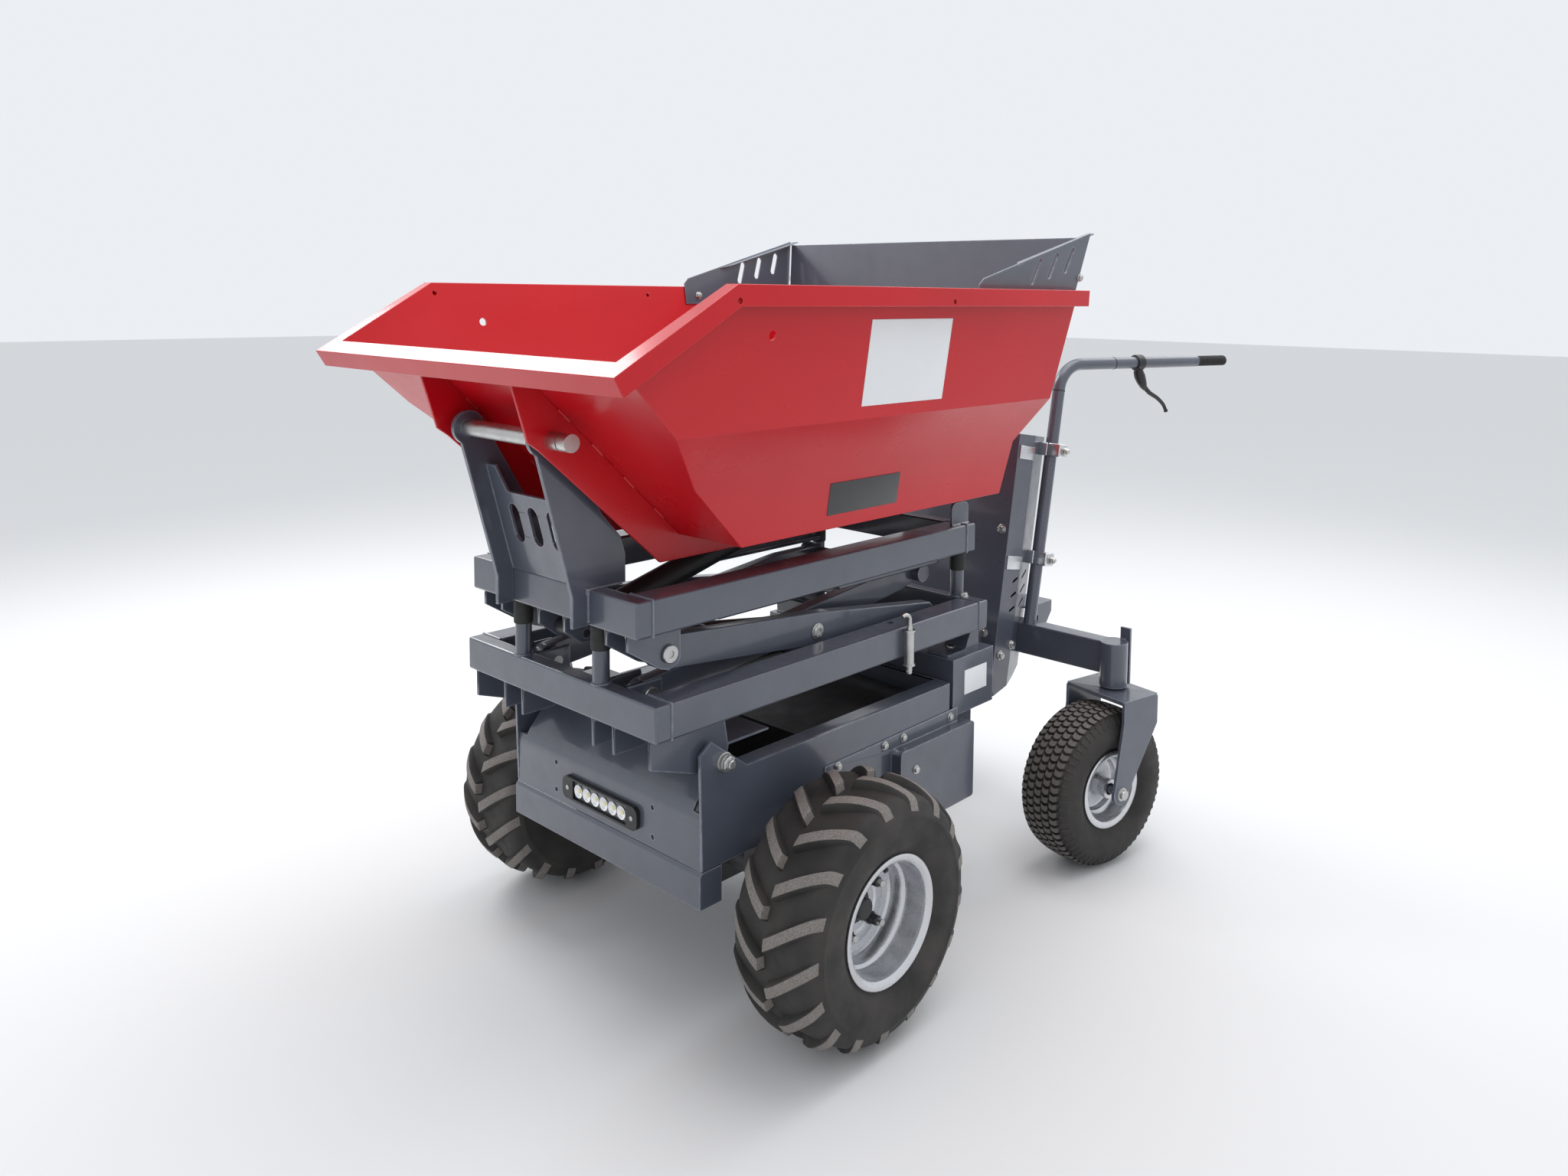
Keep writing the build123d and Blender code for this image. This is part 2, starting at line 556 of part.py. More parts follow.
with BuildPart() as lower_frame:
    add(lower_rails)
    for side in (1, -1):
        # runner that carries the outer arms' rollers
        with BuildSketch(Plane.XY.offset(LOWER_RUNNER_TOP)):
            with Locations(
                (
                    ahead((RUNNER_FRONT + RUNNER_REAR) / 2),
                    side * (RUNNER_INNER_Y + LOWER_HALF_WIDTH - SIDE_RAIL_WIDTH) / 2,
                )
            ):
                Rectangle(RUNNER_FRONT - RUNNER_REAR, LOWER_HALF_WIDTH - SIDE_RAIL_WIDTH - RUNNER_INNER_Y)
        extrude(amount=-RUNNER_SHEET)
        # clevis plates of the inner arms: under the front rail and up behind it
        for clevis_y in LOWER_CLEVIS_Y:
            with BuildSketch(side_plane(side * clevis_y)):
                with BuildLine():
                    Polyline(
                        *side_points(
                            [
                                (LOWER_FRONT - PLATE_SETBACK, LOWER_BOTTOM),
                                (LOWER_FRONT - PLATE_SETBACK, CLEVIS_BOTTOM),
                                (LOWER_PIVOT[0] + 10.0, CLEVIS_BOTTOM),
                                (LOWER_PIVOT[0] - CLEVIS_HEAD_R, LOWER_PIVOT[1] - 20.0),
                                (LOWER_PIVOT[0] - CLEVIS_HEAD_R, LOWER_TOP),
                                (LOWER_FRONT - END_RAIL_WIDTH, LOWER_TOP),
                                (LOWER_FRONT - END_RAIL_WIDTH, LOWER_BOTTOM),
                            ]
                        ),
                        close=True,
                    )
                make_face()
                with Locations((ahead(LOWER_PIVOT[0]), LOWER_PIVOT[1])):
                    Circle(ARM_PIN_R, mode=Mode.SUBTRACT)
            extrude(amount=PLATE / 2, both=True)
        # hinge brackets on the chassis bolts
        with BuildSketch(side_plane(side * HINGE_BRACKET_Y)):
            with BuildLine():
                Polyline(
                    *side_points(
                        [
                            (160.0, LOWER_BOTTOM),
                            (150.0, HINGE_BRACKET_BOTTOM + 20.0),
                            (160.0, HINGE_BRACKET_BOTTOM - 18.0),
                            (195.0, HINGE_BRACKET_BOTTOM - 18.0),
                            (LOWER_FRONT - PLATE_SETBACK, CLEVIS_BOTTOM),
                            (LOWER_FRONT - PLATE_SETBACK, LOWER_BOTTOM),
                        ]
                    ),
                    close=True,
                )
            make_face()
            with Locations((ahead(FRAME_BOLT[0]), FRAME_BOLT[1])):
                Circle(FRAME_BOLT_R, mode=Mode.SUBTRACT)
        extrude(amount=PLATE / 2, both=True)
        # clevis of the lift cylinder, on the cross rail
        with BuildSketch(side_plane(side * CYLINDER_CHEEK_Y)):
            with BuildLine():
                Polyline(
                    *side_points(
                        [
                            (CROSS_RAIL_FRONT, CROSS_RAIL_TOP),
                            (LIFT_CYLINDER_FOOT[0] + CYLINDER_EYE_R, CROSS_RAIL_TOP),
                            (LIFT_CYLINDER_FOOT[0] + CYLINDER_EYE_R, CROSS_RAIL_BOTTOM),
                            (CROSS_RAIL_FRONT, CROSS_RAIL_BOTTOM),
                        ]
                    ),
                    close=True,
                )
            make_face()
            with Locations((ahead(LIFT_CYLINDER_FOOT[0]), LIFT_CYLINDER_FOOT[1])):
                Circle(CYLINDER_PIN_R, mode=Mode.SUBTRACT)
        extrude(amount=CYLINDER_CHEEK / 2, both=True)
        # hole for the lock pin
        with BuildSketch(Plane.XY.offset(LOWER_TOP)):
            with Locations((ahead(LOCK_HOLE[0]), side * LOCK_HOLE[1])):
                Circle(LOCK_HOLE_R)
        extrude(amount=-RAIL_WALL, mode=Mode.SUBTRACT)
    # cross rail under the runners' rear half
    with BuildSketch(side_plane(0)):
        middle = (ahead(CROSS_RAIL_FRONT - END_RAIL_WIDTH / 2), (CROSS_RAIL_TOP + CROSS_RAIL_BOTTOM) / 2)
        with Locations(middle):
            Rectangle(END_RAIL_WIDTH, CROSS_RAIL_TOP - CROSS_RAIL_BOTTOM)
    extrude(amount=LOWER_HALF_WIDTH - SIDE_RAIL_WIDTH, both=True)
finish(lower_frame, "lower_frame")

FRONT_POST = (311.0, UPPER_HALF_WIDTH - 131.5)
REAR_POST = (-587.0, 214.0)
POST_PLACES = [(ahead(x), side * y) for x, y in (FRONT_POST, REAR_POST) for side in (1, -1)]
PAD_TOP = UPPER_BOTTOM - SEAT_GAP

with BuildPart() as rest_posts:
    with BuildSketch(Plane.XY.offset(LOWER_TOP)):
        with Locations(*POST_PLACES):
            Circle(POST_R)
    extrude(amount=PAD_TOP - PAD_HEIGHT / 3 - LOWER_TOP)
finish(rest_posts, "rest_posts")

with BuildPart() as rest_pads:
    with BuildSketch(Plane.XY.offset(PAD_TOP)):
        with Locations(*POST_PLACES):
            Circle(PAD_R)
    extrude(amount=-PAD_HEIGHT)
    with BuildSketch(Plane.XY.offset(PAD_TOP - PAD_HEIGHT / 3)):
        with Locations(*POST_PLACES):
            Circle(POST_R)
    extrude(amount=-PAD_HEIGHT, mode=Mode.SUBTRACT)
finish(rest_pads, "rest_pads")

LOCK_PIN = (-312.0, LOWER_HALF_WIDTH + 12.4)  # ahead of the axle, and its Y
LOCK_PIN_R = 6.0
LOCK_SLEEVE_R = 10.0
LOCK_SLEEVE_TOP = 632.0
LOCK_SLEEVE_BOTTOM = 566.0
LOCK_PIN_TOP = 668.0
LOCK_PIN_BOTTOM = 545.0
LOCK_HANDLE_REACH = 24.0

with BuildPart() as lock_pin:
    with BuildSketch(Plane.XY.offset(LOCK_PIN_BOTTOM)):
        with Locations((ahead(LOCK_PIN[0]), LOCK_PIN[1])):
            Circle(LOCK_PIN_R)
    extrude(amount=LOCK_PIN_TOP - LOCK_PIN_BOTTOM)
    with BuildSketch(front_plane(LOCK_PIN[0] - LOCK_PIN_R)):
        with Locations((LOCK_PIN[1], LOCK_PIN_TOP)):
            Circle(LOCK_PIN_R)
    extrude(amount=LOCK_HANDLE_REACH + LOCK_PIN_R)
    with BuildSketch(Plane.XY.offset(LOCK_SLEEVE_BOTTOM)):
        with Locations((ahead(LOCK_PIN[0]), LOCK_PIN[1])):
            Circle(LOCK_SLEEVE_R)
        with Locations((ahead(LOCK_PIN[0]), (LOCK_PIN[1] + LOWER_HALF_WIDTH) / 2)):
            Rectangle(LOCK_SLEEVE_R, LOCK_PIN[1] - LOWER_HALF_WIDTH)
    extrude(amount=LOCK_SLEEVE_TOP - LOCK_SLEEVE_BOTTOM)
finish(lock_pin, "lock_pin")

BOLT_HEAD_R = 15.0
BOLT_HEAD = 9.0

with BuildPart() as frame_hinge_bolts:
    for side in (1, -1):
        with BuildSketch(side_plane(side * (CHASSIS_HALF_WIDTH + BOLT_HEAD))):
            with Locations((ahead(FRAME_BOLT[0]), FRAME_BOLT[1])):
                Circle(FRAME_BOLT_R)
        extrude(amount=side * (CHASSIS_HALF_WIDTH + BOLT_HEAD - HINGE_BRACKET_Y + PLATE))
        with BuildSketch(side_plane(side * CHASSIS_HALF_WIDTH)):
            with Locations((ahead(FRAME_BOLT[0]), FRAME_BOLT[1])):
                Circle(BOLT_HEAD_R)
        extrude(amount=-side * BOLT_HEAD)
finish(frame_hinge_bolts, "frame_hinge_bolts")

REAR_BRACKET_Y = 235.0
REAR_BRACKET_WIDTH = 60.0

with BuildPart() as rear_brackets:
    for side in (1, -1):
        with BuildSketch(side_plane(side * REAR_BRACKET_Y)):
            with BuildLine():
                Polyline(
                    *side_points(
                        [
                            (REAR_BOX_FRONT - 5.0, REAR_BOX_TOP),
                            (REAR_BOX_FRONT - 5.0, REAR_BOX_TOP + PLATE),
                            (-555.0, REAR_BOX_TOP + PLATE),
                            (-575.0, LOWER_BOTTOM),
                            (-603.0, LOWER_BOTTOM),
                            (-603.0, REAR_BOX_TOP),
                        ]
                    ),
                    close=True,
                )
            make_face()
        extrude(amount=REAR_BRACKET_WIDTH / 2, both=True)
finish(rear_brackets, "rear_brackets")

# ---------------------------------------------------------------- control column and casters' beam

BEAM_WALL = 5.0
BEAM_MIDDLE = BEAM_FRONT - BEAM_DEPTH / 2
BEAM_REAR = BEAM_FRONT - BEAM_DEPTH
LINK_Y = 120.0  # the two rails from the rear box to the beam
LINK_WIDTH = 40.0
TOW_BRACKET_TOP = 527.0
TOW_BRACKET_BOTTOM = 440.0
TOW_BRACKET_HALF_WIDTH = 165.0
TOW_BRACKET_REAR = -1071.0
TOW_SLOT = (-1003.0, 491.0)
TOW_SLOT_SIZE = (16.0, 8.0)
HEAD_TAB_WIDTH = 26.0
HEAD_TAB_TOP = 533.0
COLUMN_LEAN = (COLUMN_FOOT[0] - COLUMN_HEAD[0]) / (COLUMN_HEAD[1] - COLUMN_FOOT[1])
COLUMN_BOTTOM = 344.0
COLUMN_BASE = 500.0
CORNER_CUT = 20.0
LOUVRE_WIDTH = 6.0
LOUVRE_SLANT = 19.0
LOUVRE_PITCH = 35.0
LOUVRE_ROWS = 3
LOUVRES = [
    # (behind the column's front edge, lowest one's height, length)
    (55.0, 545.0, 26.0),
    (114.0, 548.0, 40.0),
]


def column_x(height):
    """Front edge of the column at a height, ahead of the axle."""
    return COLUMN_FOOT[0] - (height - COLUMN_FOOT[1]) * COLUMN_LEAN


COLUMN_SIDE = [
    (column_x(383.0), 383.0),
    (column_x(COLUMN_HEAD[1]), COLUMN_HEAD[1]),
    (column_x(COLUMN_HEAD[1]) - COLUMN_REAR_DEPTH, COLUMN_HEAD[1] - 24.0),
    (column_x(383.0) - COLUMN_REAR_DEPTH, 383.0),
    (column_x(383.0) - COLUMN_REAR_DEPTH + 44.0, 366.0),
    (column_x(383.0) - 10.0, COLUMN_BOTTOM),
]


def column_body(inset):
    """The column's solid: the side view across its width, its sides turned in behind their bends."""
    half_width = COLUMN_HALF_WIDTH - inset
    lean = atan2(COLUMN_LEAN, 1.0)
    square_to_column = Plane(
        origin=(ahead(column_x(0.0)), 0, 0),
        x_dir=(cos(lean), 0, sin(lean)),
        z_dir=(-sin(lean), 0, cos(lean)),
    )
    rear = -COLUMN_REAR_DEPTH - CORNER_CUT
    rear_half_width = half_width + (rear + COLUMN_DEPTH) * tan(radians(COLUMN_TAPER))
    with BuildPart() as body:
        with BuildSketch(side_plane(0)):
            with BuildLine():
                Polyline(*side_points(COLUMN_SIDE), close=True)
            make_face()
            if inset:
                offset(amount=-inset, kind=Kind.INTERSECTION)
        extrude(amount=half_width, both=True)
        with BuildSketch(square_to_column):
            with BuildLine():
                Polyline(
                    (CORNER_CUT, half_width),
                    (-COLUMN_DEPTH, half_width),
                    (rear, rear_half_width),
                    (rear, -rear_half_width),
                    (-COLUMN_DEPTH, -half_width),
                    (CORNER_CUT, -half_width),
                    close=True,
                )
            make_face()
        extrude(amount=1200.0, mode=Mode.INTERSECT)
    return body.part


column_outside = column_body(0)
column_inside = column_body(COLUMN_SHEET)

with BuildPart() as column_cover:
    add(column_outside)
    add(column_inside, mode=Mode.SUBTRACT)
    with BuildSketch(side_plane(0)):
        for behind, lowest, length in LOUVRES:
            for height in [lowest + row * LOUVRE_PITCH for row in range(LOUVRE_ROWS)]:
                with Locations(Location((ahead(column_x(height) - behind), height), -LOUVRE_SLANT)):
                    SlotOverall(length, LOUVRE_WIDTH)
    extrude(amount=COLUMN_HALF_WIDTH + 1.0, both=True, mode=Mode.SUBTRACT)
    # openings for the casters' beam and the two rails that carry it
    with BuildSketch(side_plane(0)):
        with Locations((ahead(BEAM_MIDDLE), (BEAM_TOP + BEAM_BOTTOM) / 2)):
            Rectangle(BEAM_DEPTH + 2 * SIDE_GAP, BEAM_TOP - BEAM_BOTTOM + 2 * SIDE_GAP)
    extrude(amount=CASTER_AXIS_Y, both=True, mode=Mode.SUBTRACT)
    for side in (1, -1):
        with BuildSketch(front_plane(REAR_BOX_REAR)):
            with Locations((side * LINK_Y, (BEAM_TOP + BEAM_BOTTOM) / 2)):
                Rectangle(LINK_WIDTH + 2 * SIDE_GAP, BEAM_TOP - BEAM_BOTTOM + 2 * SIDE_GAP)
        extrude(amount=BEAM_FRONT - REAR_BOX_REAR, mode=Mode.SUBTRACT)
finish(column_cover, "column_cover")

POWER_PACK_SIZE = (70.0, 240.0, 400.0)  # along, across and up: the hydraulic unit in the column
POWER_PACK_GAP = 25.0
POWER_PACK_TOP = COLUMN_BASE + POWER_PACK_SIZE[2]

with BuildPart() as power_pack:
    with BuildSketch(side_plane(0)):
        with BuildLine():
            Polyline(
                *side_points(
                    [
                        (column_x(COLUMN_BASE) - POWER_PACK_GAP, COLUMN_BASE),
                        (column_x(POWER_PACK_TOP) - POWER_PACK_GAP, POWER_PACK_TOP),
                        (column_x(POWER_PACK_TOP) - POWER_PACK_GAP - POWER_PACK_SIZE[0], POWER_PACK_TOP),
                        (column_x(COLUMN_BASE) - POWER_PACK_GAP - POWER_PACK_SIZE[0], COLUMN_BASE),
                    ]
                ),
                close=True,
            )
        make_face()
    extrude(amount=POWER_PACK_SIZE[1] / 2, both=True)
finish(power_pack, "power_pack")

HEAD_TUBE_BORE_R = STEM_R + RUNNING_GAP

with BuildPart() as caster_beam:
    with BuildSketch(side_plane(0)):
        with Locations((ahead(BEAM_MIDDLE), (BEAM_TOP + BEAM_BOTTOM) / 2)):
            Rectangle(BEAM_DEPTH, BEAM_TOP - BEAM_BOTTOM)
            Rectangle(BEAM_DEPTH - 2 * BEAM_WALL, BEAM_TOP - BEAM_BOTTOM - 2 * BEAM_WALL, mode=Mode.SUBTRACT)
    extrude(amount=CASTER_AXIS_Y, both=True)
    with BuildSketch(Plane.XY.offset(HEAD_TUBE_BOTTOM)):
        with Locations(*[(ahead(-CASTER_AXIS_BEHIND_AXLE), side * CASTER_AXIS_Y) for side in (1, -1)]):
            Circle(HEAD_TUBE_R)
    extrude(amount=HEAD_TUBE_TOP - HEAD_TUBE_BOTTOM)
    with BuildSketch(Plane.XY.offset(HEAD_TUBE_BOTTOM)):
        with Locations(*[(ahead(-CASTER_AXIS_BEHIND_AXLE), side * CASTER_AXIS_Y) for side in (1, -1)]):
            Circle(HEAD_TUBE_BORE_R)
    extrude(amount=HEAD_TUBE_TOP - HEAD_TUBE_BOTTOM - PLATE, mode=Mode.SUBTRACT)
    # the rear box carries the beam through two rails under the column
    for side in (1, -1):
        with BuildSketch(front_plane(REAR_BOX_REAR)):
            with Locations((side * LINK_Y, (BEAM_TOP + BEAM_BOTTOM) / 2)):
                Rectangle(LINK_WIDTH, BEAM_TOP - BEAM_BOTTOM)
        extrude(amount=BEAM_FRONT - REAR_BOX_REAR)
    # tow bracket behind the beam: two side plates under a top plate
    bracket_side = [
        (BEAM_REAR, TOW_BRACKET_BOTTOM),
        (BEAM_REAR, BEAM_TOP),
        (BEAM_REAR - BEAM_WALL, BEAM_TOP),
        (BEAM_REAR - BEAM_WALL, TOW_BRACKET_TOP),
        (TOW_BRACKET_REAR, TOW_BRACKET_TOP),
        (TOW_BRACKET_REAR, BEAM_TOP),
        (TOW_BRACKET_REAR + 50.0, TOW_BRACKET_BOTTOM),
    ]
    for side in (1, -1):
        with BuildSketch(side_plane(side * TOW_BRACKET_HALF_WIDTH)):
            with BuildLine():
                Polyline(*side_points(bracket_side), close=True)
            make_face()
            with Locations(Location((ahead(TOW_SLOT[0]), TOW_SLOT[1]), 90.0)):
                SlotOverall(*TOW_SLOT_SIZE, mode=Mode.SUBTRACT)
        extrude(amount=side * PLATE)
    with BuildSketch(Plane.XY.offset(TOW_BRACKET_TOP)):
        with Locations((ahead((BEAM_REAR - BEAM_WALL + TOW_BRACKET_REAR) / 2), 0)):
            Rectangle(BEAM_REAR - BEAM_WALL - TOW_BRACKET_REAR, 2 * TOW_BRACKET_HALF_WIDTH)
    extrude(amount=-PLATE)
    # upright tab behind each head tube
    for side in (1, -1):
        with BuildSketch(Plane.XY.offset(HEAD_TUBE_BOTTOM)):
            tab_y = side * (CASTER_AXIS_Y + HEAD_TAB_WIDTH / 2)
            with Locations((ahead(-CASTER_AXIS_BEHIND_AXLE - HEAD_TUBE_R), tab_y)):
                Rectangle(PLATE, HEAD_TAB_WIDTH)
        extrude(amount=HEAD_TAB_TOP - HEAD_TUBE_BOTTOM)
finish(caster_beam, "caster_beam")

# ---------------------------------------------------------------- handlebars

def bar_path(side):
    """Centre line of one handlebar, from its foot on the beam to its rear end."""
    with BuildLine() as path:
        FilletPolyline(
            (ahead(BAR_FOOT[0]), side * BAR_Y, BAR_FOOT[1]),
            (ahead(BAR_BEND[0]), side * BAR_Y, BAR_BEND[1]),
            (ahead(BAR_END[0]), side * BAR_END[1], BAR_BEND[1]),
            radius=BAR_BEND_R,
        )
    return path.line


bar_paths = [bar_path(1), bar_path(-1)]
grip_planes = [Plane(origin=path @ 1, z_dir=path % 1) for path in bar_paths]

with BuildPart() as handlebars:
    for path in bar_paths:
        with BuildSketch(Plane(origin=path @ 0, z_dir=path % 0)):
            Circle(BAR_R)
        sweep(path=path)
    split(bisect_by=Plane.XY.offset(BEAM_TOP), keep=Keep.TOP)
    for plane in grip_planes:
        with BuildSketch(plane.offset(-GRIP_LENGTH)):
            Circle(BAR_R + 1.0)
            Circle(GRIP_CORE_R, mode=Mode.SUBTRACT)
        extrude(amount=GRIP_LENGTH + 1.0, mode=Mode.SUBTRACT)
finish(handlebars, "handlebars")

with BuildPart() as grips:
    for plane in grip_planes:
        with BuildSketch(plane.offset(-GRIP_LENGTH)):
            Circle(GRIP_R)
        extrude(amount=GRIP_LENGTH + 4.0)
        with BuildSketch(plane.offset(-GRIP_LENGTH)):
            Circle(GRIP_CORE_R)
        extrude(amount=GRIP_LENGTH, mode=Mode.SUBTRACT)
finish(grips, "grips")

LEVER_ALONG = 330.0  # lever clamp, back from the bar's rear end
LEVER_DROP = 46.0
LEVER_REACH = 120.0

with BuildPart() as brake_levers:
    for plane in grip_planes:
        clamp_plane = plane.offset(-LEVER_ALONG)
        with BuildSketch(clamp_plane):
            Circle(BAR_R + 5.0)
            Circle(BAR_R, mode=Mode.SUBTRACT)
        extrude(amount=24.0)
        start = clamp_plane.origin + Vector(0, 0, -BAR_R - 2.0) + clamp_plane.z_dir * 12.0
        elbow = start + Vector(0, 0, -LEVER_DROP)
        tip = elbow + clamp_plane.z_dir * LEVER_REACH * 0.6 + Vector(0, 0, -LEVER_REACH * 0.45)
        with BuildLine() as lever_path:
            Polyline(start, elbow, tip)
        with BuildSketch(Plane(origin=start, z_dir=(0, 0, -1))):
            Circle(7.0)
        sweep(path=lever_path.line, transition=Transition.RIGHT)
finish(brake_levers, "brake_levers")

CLAMP_HEIGHTS = (660.0, 927.0)
CLAMP_HEIGHT = 33.0
CLAMP_HALF_LENGTH = 36.0  # from the bar's axis out to the clamp's end
CLAMP_DEPTH = 38.0
CLAMP_NUT_R = 11.0
CLAMP_NUT = 14.0


def bar_x(height):
    """Centre of a handlebar's upright stretch at a height, ahead of the axle."""
    share = (height - BAR_FOOT[1]) / (BAR_BEND[1] - BAR_FOOT[1])
    return BAR_FOOT[0] + share * (BAR_BEND[0] - BAR_FOOT[0])


with BuildPart() as bar_clamps:
    for side in (1, -1):
        for height in CLAMP_HEIGHTS:
            with BuildSketch(Plane.XY.offset(height - CLAMP_HEIGHT / 2)):
                with Locations((ahead(bar_x(height)), side * BAR_Y)):
                    Rectangle(CLAMP_DEPTH, 2 * CLAMP_HALF_LENGTH)
            extrude(amount=CLAMP_HEIGHT)
            with BuildSketch(side_plane(side * (BAR_Y + CLAMP_HALF_LENGTH))):
                with Locations((ahead(bar_x(height)), height)):
                    RegularPolygon(CLAMP_NUT_R, 6)
            extrude(amount=-side * CLAMP_NUT)
    add(handlebars.part, mode=Mode.SUBTRACT)
    add(column_outside, mode=Mode.SUBTRACT)
finish(bar_clamps, "bar_clamps")

# ---------------------------------------------------------------- scissor arms

PIN_HEAD_R = 16.0
PIN_HEAD = 6.0
CROSS_TUBE_R = 16.0
OUTER_CROSS_TUBE = (100.0, 684.0)
EAR_Y = OUTER_ARM_Y + 18.0
UPPER_CLEVIS_Y = OUTER_ARM_Y - 39.0


def arm_outline(front, rear, front_r, rear_r, upper, lower):
    """Side view of an arm: round ends at its pins, joined through a deep middle."""
    with BuildSketch(SIDE) as outline:
        with Locations((ahead(front[0]), front[1])):
            Circle(front_r)
        with Locations((ahead(rear[0]), rear[1])):
            Circle(rear_r)
        with BuildLine():
            Polyline(*side_points(upper + lower), close=True)
        make_face()
    return outline.sketch


def along_arm(slope, places):
    """Places given along and across an arm's pin line, turned to its slope."""
    s, c = sin(radians(slope)), cos(radians(slope))
    return [(ARM_MIDDLE[0] + a * c - b * s, ARM_MIDDLE[1] + a * s + b * c) for a, b in places]


HALF_DEPTH = ARM_DEPTH / 2
outer_outline = arm_outline(
    UPPER_PIVOT,
    LOWER_ROLLER,
    HALF_DEPTH,
    ROLLER_END_R,
    along_arm(
        ARM_SLOPE,
        [
            (ARM_HALF, HALF_DEPTH),
            (0.0, HALF_DEPTH + 8.0),
            (-ARM_HALF + 20.0, HALF_DEPTH),
            (-ARM_HALF - 12.0, 6.0),
        ],
    ),
    along_arm(
        ARM_SLOPE,
        [(-ARM_HALF, -ROLLER_END_R), (-ARM_HALF + 120.0, -HALF_DEPTH + 2.0), (ARM_HALF, -HALF_DEPTH)],
    ),
)
inner_outline = arm_outline(
    LOWER_PIVOT,
    UPPER_ROLLER,
    HALF_DEPTH - 3.0,
    ROLLER_END_R,
    along_arm(
        -ARM_SLOPE,
        [
            (ARM_HALF, HALF_DEPTH - 3.0),
            (0.0, HALF_DEPTH),
            (-ARM_HALF + 130.0, HALF_DEPTH),
            (-ARM_HALF - 8.0, ROLLER_END_R),
        ],
    ),
    along_arm(
        -ARM_SLOPE,
        [
            (-ARM_HALF, -ROLLER_END_R),
            (-ARM_HALF + 60.0, -HALF_DEPTH + 4.0),
            (0.0, -HALF_DEPTH),
            (ARM_HALF, -HALF_DEPTH + 3.0),
        ],
    ),
)


def arm_pair(outline, y, holes, cross_tube, cross_r):
    """Two like arms with round holes at their pins, tied by a cross tube."""
    with BuildPart() as pair:
        for side in (1, -1):
            with BuildSketch(side_plane(side * y)):
                add(outline)
                for (x, z), radius in holes:
                    with Locations((ahead(x), z)):
                        Circle(radius, mode=Mode.SUBTRACT)
            extrude(amount=ARM_WIDTH / 2, both=True)
        with BuildSketch(side_plane(0)):
            with Locations((ahead(cross_tube[0]), cross_tube[1])):
                Circle(cross_r)
        extrude(amount=y - ARM_WIDTH / 2, both=True)
    return pair.part


outer_pair = arm_pair(
    outer_outline,
    OUTER_ARM_Y,
    [(UPPER_PIVOT, ARM_PIN_R), (ARM_MIDDLE, ARM_PIN_R), (LOWER_ROLLER, ARM_PIN_R - 3.0)],
    OUTER_CROSS_TUBE,
    CROSS_TUBE_R,
)
inner_pair = arm_pair(
    inner_outline,
    INNER_ARM_Y,
    [(LOWER_PIVOT, ARM_PIN_R + RUNNING_GAP), (ARM_MIDDLE, ARM_PIN_R + RUNNING_GAP)],
    UPPER_ROLLER,
    ROLLER_END_R - 2.0,
)

with BuildPart() as inner_arms:
    add(inner_pair)
finish(inner_arms, "inner_arms")

with BuildPart() as outer_arms:
    add(outer_pair)
    # cheeks for the lift cylinder's eye, under the cross tube
    for side in (1, -1):
        with BuildSketch(side_plane(side * CYLINDER_CHEEK_Y)):
            with Locations((ahead(LIFT_CYLINDER_EYE[0]), LIFT_CYLINDER_EYE[1])):
                Circle(CYLINDER_EYE_R)
            with Locations((ahead(OUTER_CROSS_TUBE[0]), (OUTER_CROSS_TUBE[1] + LIFT_CYLINDER_EYE[1]) / 2)):
                Rectangle(CROSS_TUBE_R * 1.5, OUTER_CROSS_TUBE[1] - LIFT_CYLINDER_EYE[1])
            with Locations((ahead(LIFT_CYLINDER_EYE[0]), LIFT_CYLINDER_EYE[1])):
                Circle(CYLINDER_PIN_R, mode=Mode.SUBTRACT)
        extrude(amount=CYLINDER_CHEEK / 2, both=True)
finish(outer_arms, "outer_arms")

MIDDLE_PIN_INNER_Y = INNER_ARM_Y - ARM_WIDTH / 2 - 4.0
MIDDLE_PIN_OUTER_Y = OUTER_ARM_Y + ARM_WIDTH / 2

with BuildPart() as middle_pins:
    for side in (1, -1):
        with BuildSketch(side_plane(side * MIDDLE_PIN_INNER_Y)):
            with Locations((ahead(ARM_MIDDLE[0]), ARM_MIDDLE[1])):
                Circle(ARM_PIN_R)
        extrude(amount=-side * (MIDDLE_PIN_OUTER_Y - MIDDLE_PIN_INNER_Y))
        with BuildSketch(side_plane(side * MIDDLE_PIN_OUTER_Y)):
            with Locations((ahead(ARM_MIDDLE[0]), ARM_MIDDLE[1])):
                Circle(PIN_HEAD_R)
        extrude(amount=-side * PIN_HEAD)
        with BuildSketch(side_plane(side * (INNER_ARM_Y + ARM_WIDTH / 2 + SIDE_GAP))):
            with Locations((ahead(ARM_MIDDLE[0]), ARM_MIDDLE[1])):
                Circle(PIN_HEAD_R)
        extrude(amount=-side * (OUTER_ARM_Y - INNER_ARM_Y - ARM_WIDTH - SIDE_GAP))
finish(middle_pins, "middle_pins")

with BuildPart() as lower_pivot_pins:
    for side in (1, -1):
        inner_end = LOWER_CLEVIS_Y[0] - PLATE / 2
        outer_end = LOWER_CLEVIS_Y[1] + PLATE / 2
        with BuildSketch(side_plane(side * inner_end)):
            with Locations((ahead(LOWER_PIVOT[0]), LOWER_PIVOT[1])):
                Circle(ARM_PIN_R)
        extrude(amount=-side * (outer_end - inner_end))
        with BuildSketch(side_plane(side * outer_end)):
            with Locations((ahead(LOWER_PIVOT[0]), LOWER_PIVOT[1])):
                Circle(PIN_HEAD_R)
        extrude(amount=-side * PIN_HEAD)
finish(lower_pivot_pins, "lower_pivot_pins")

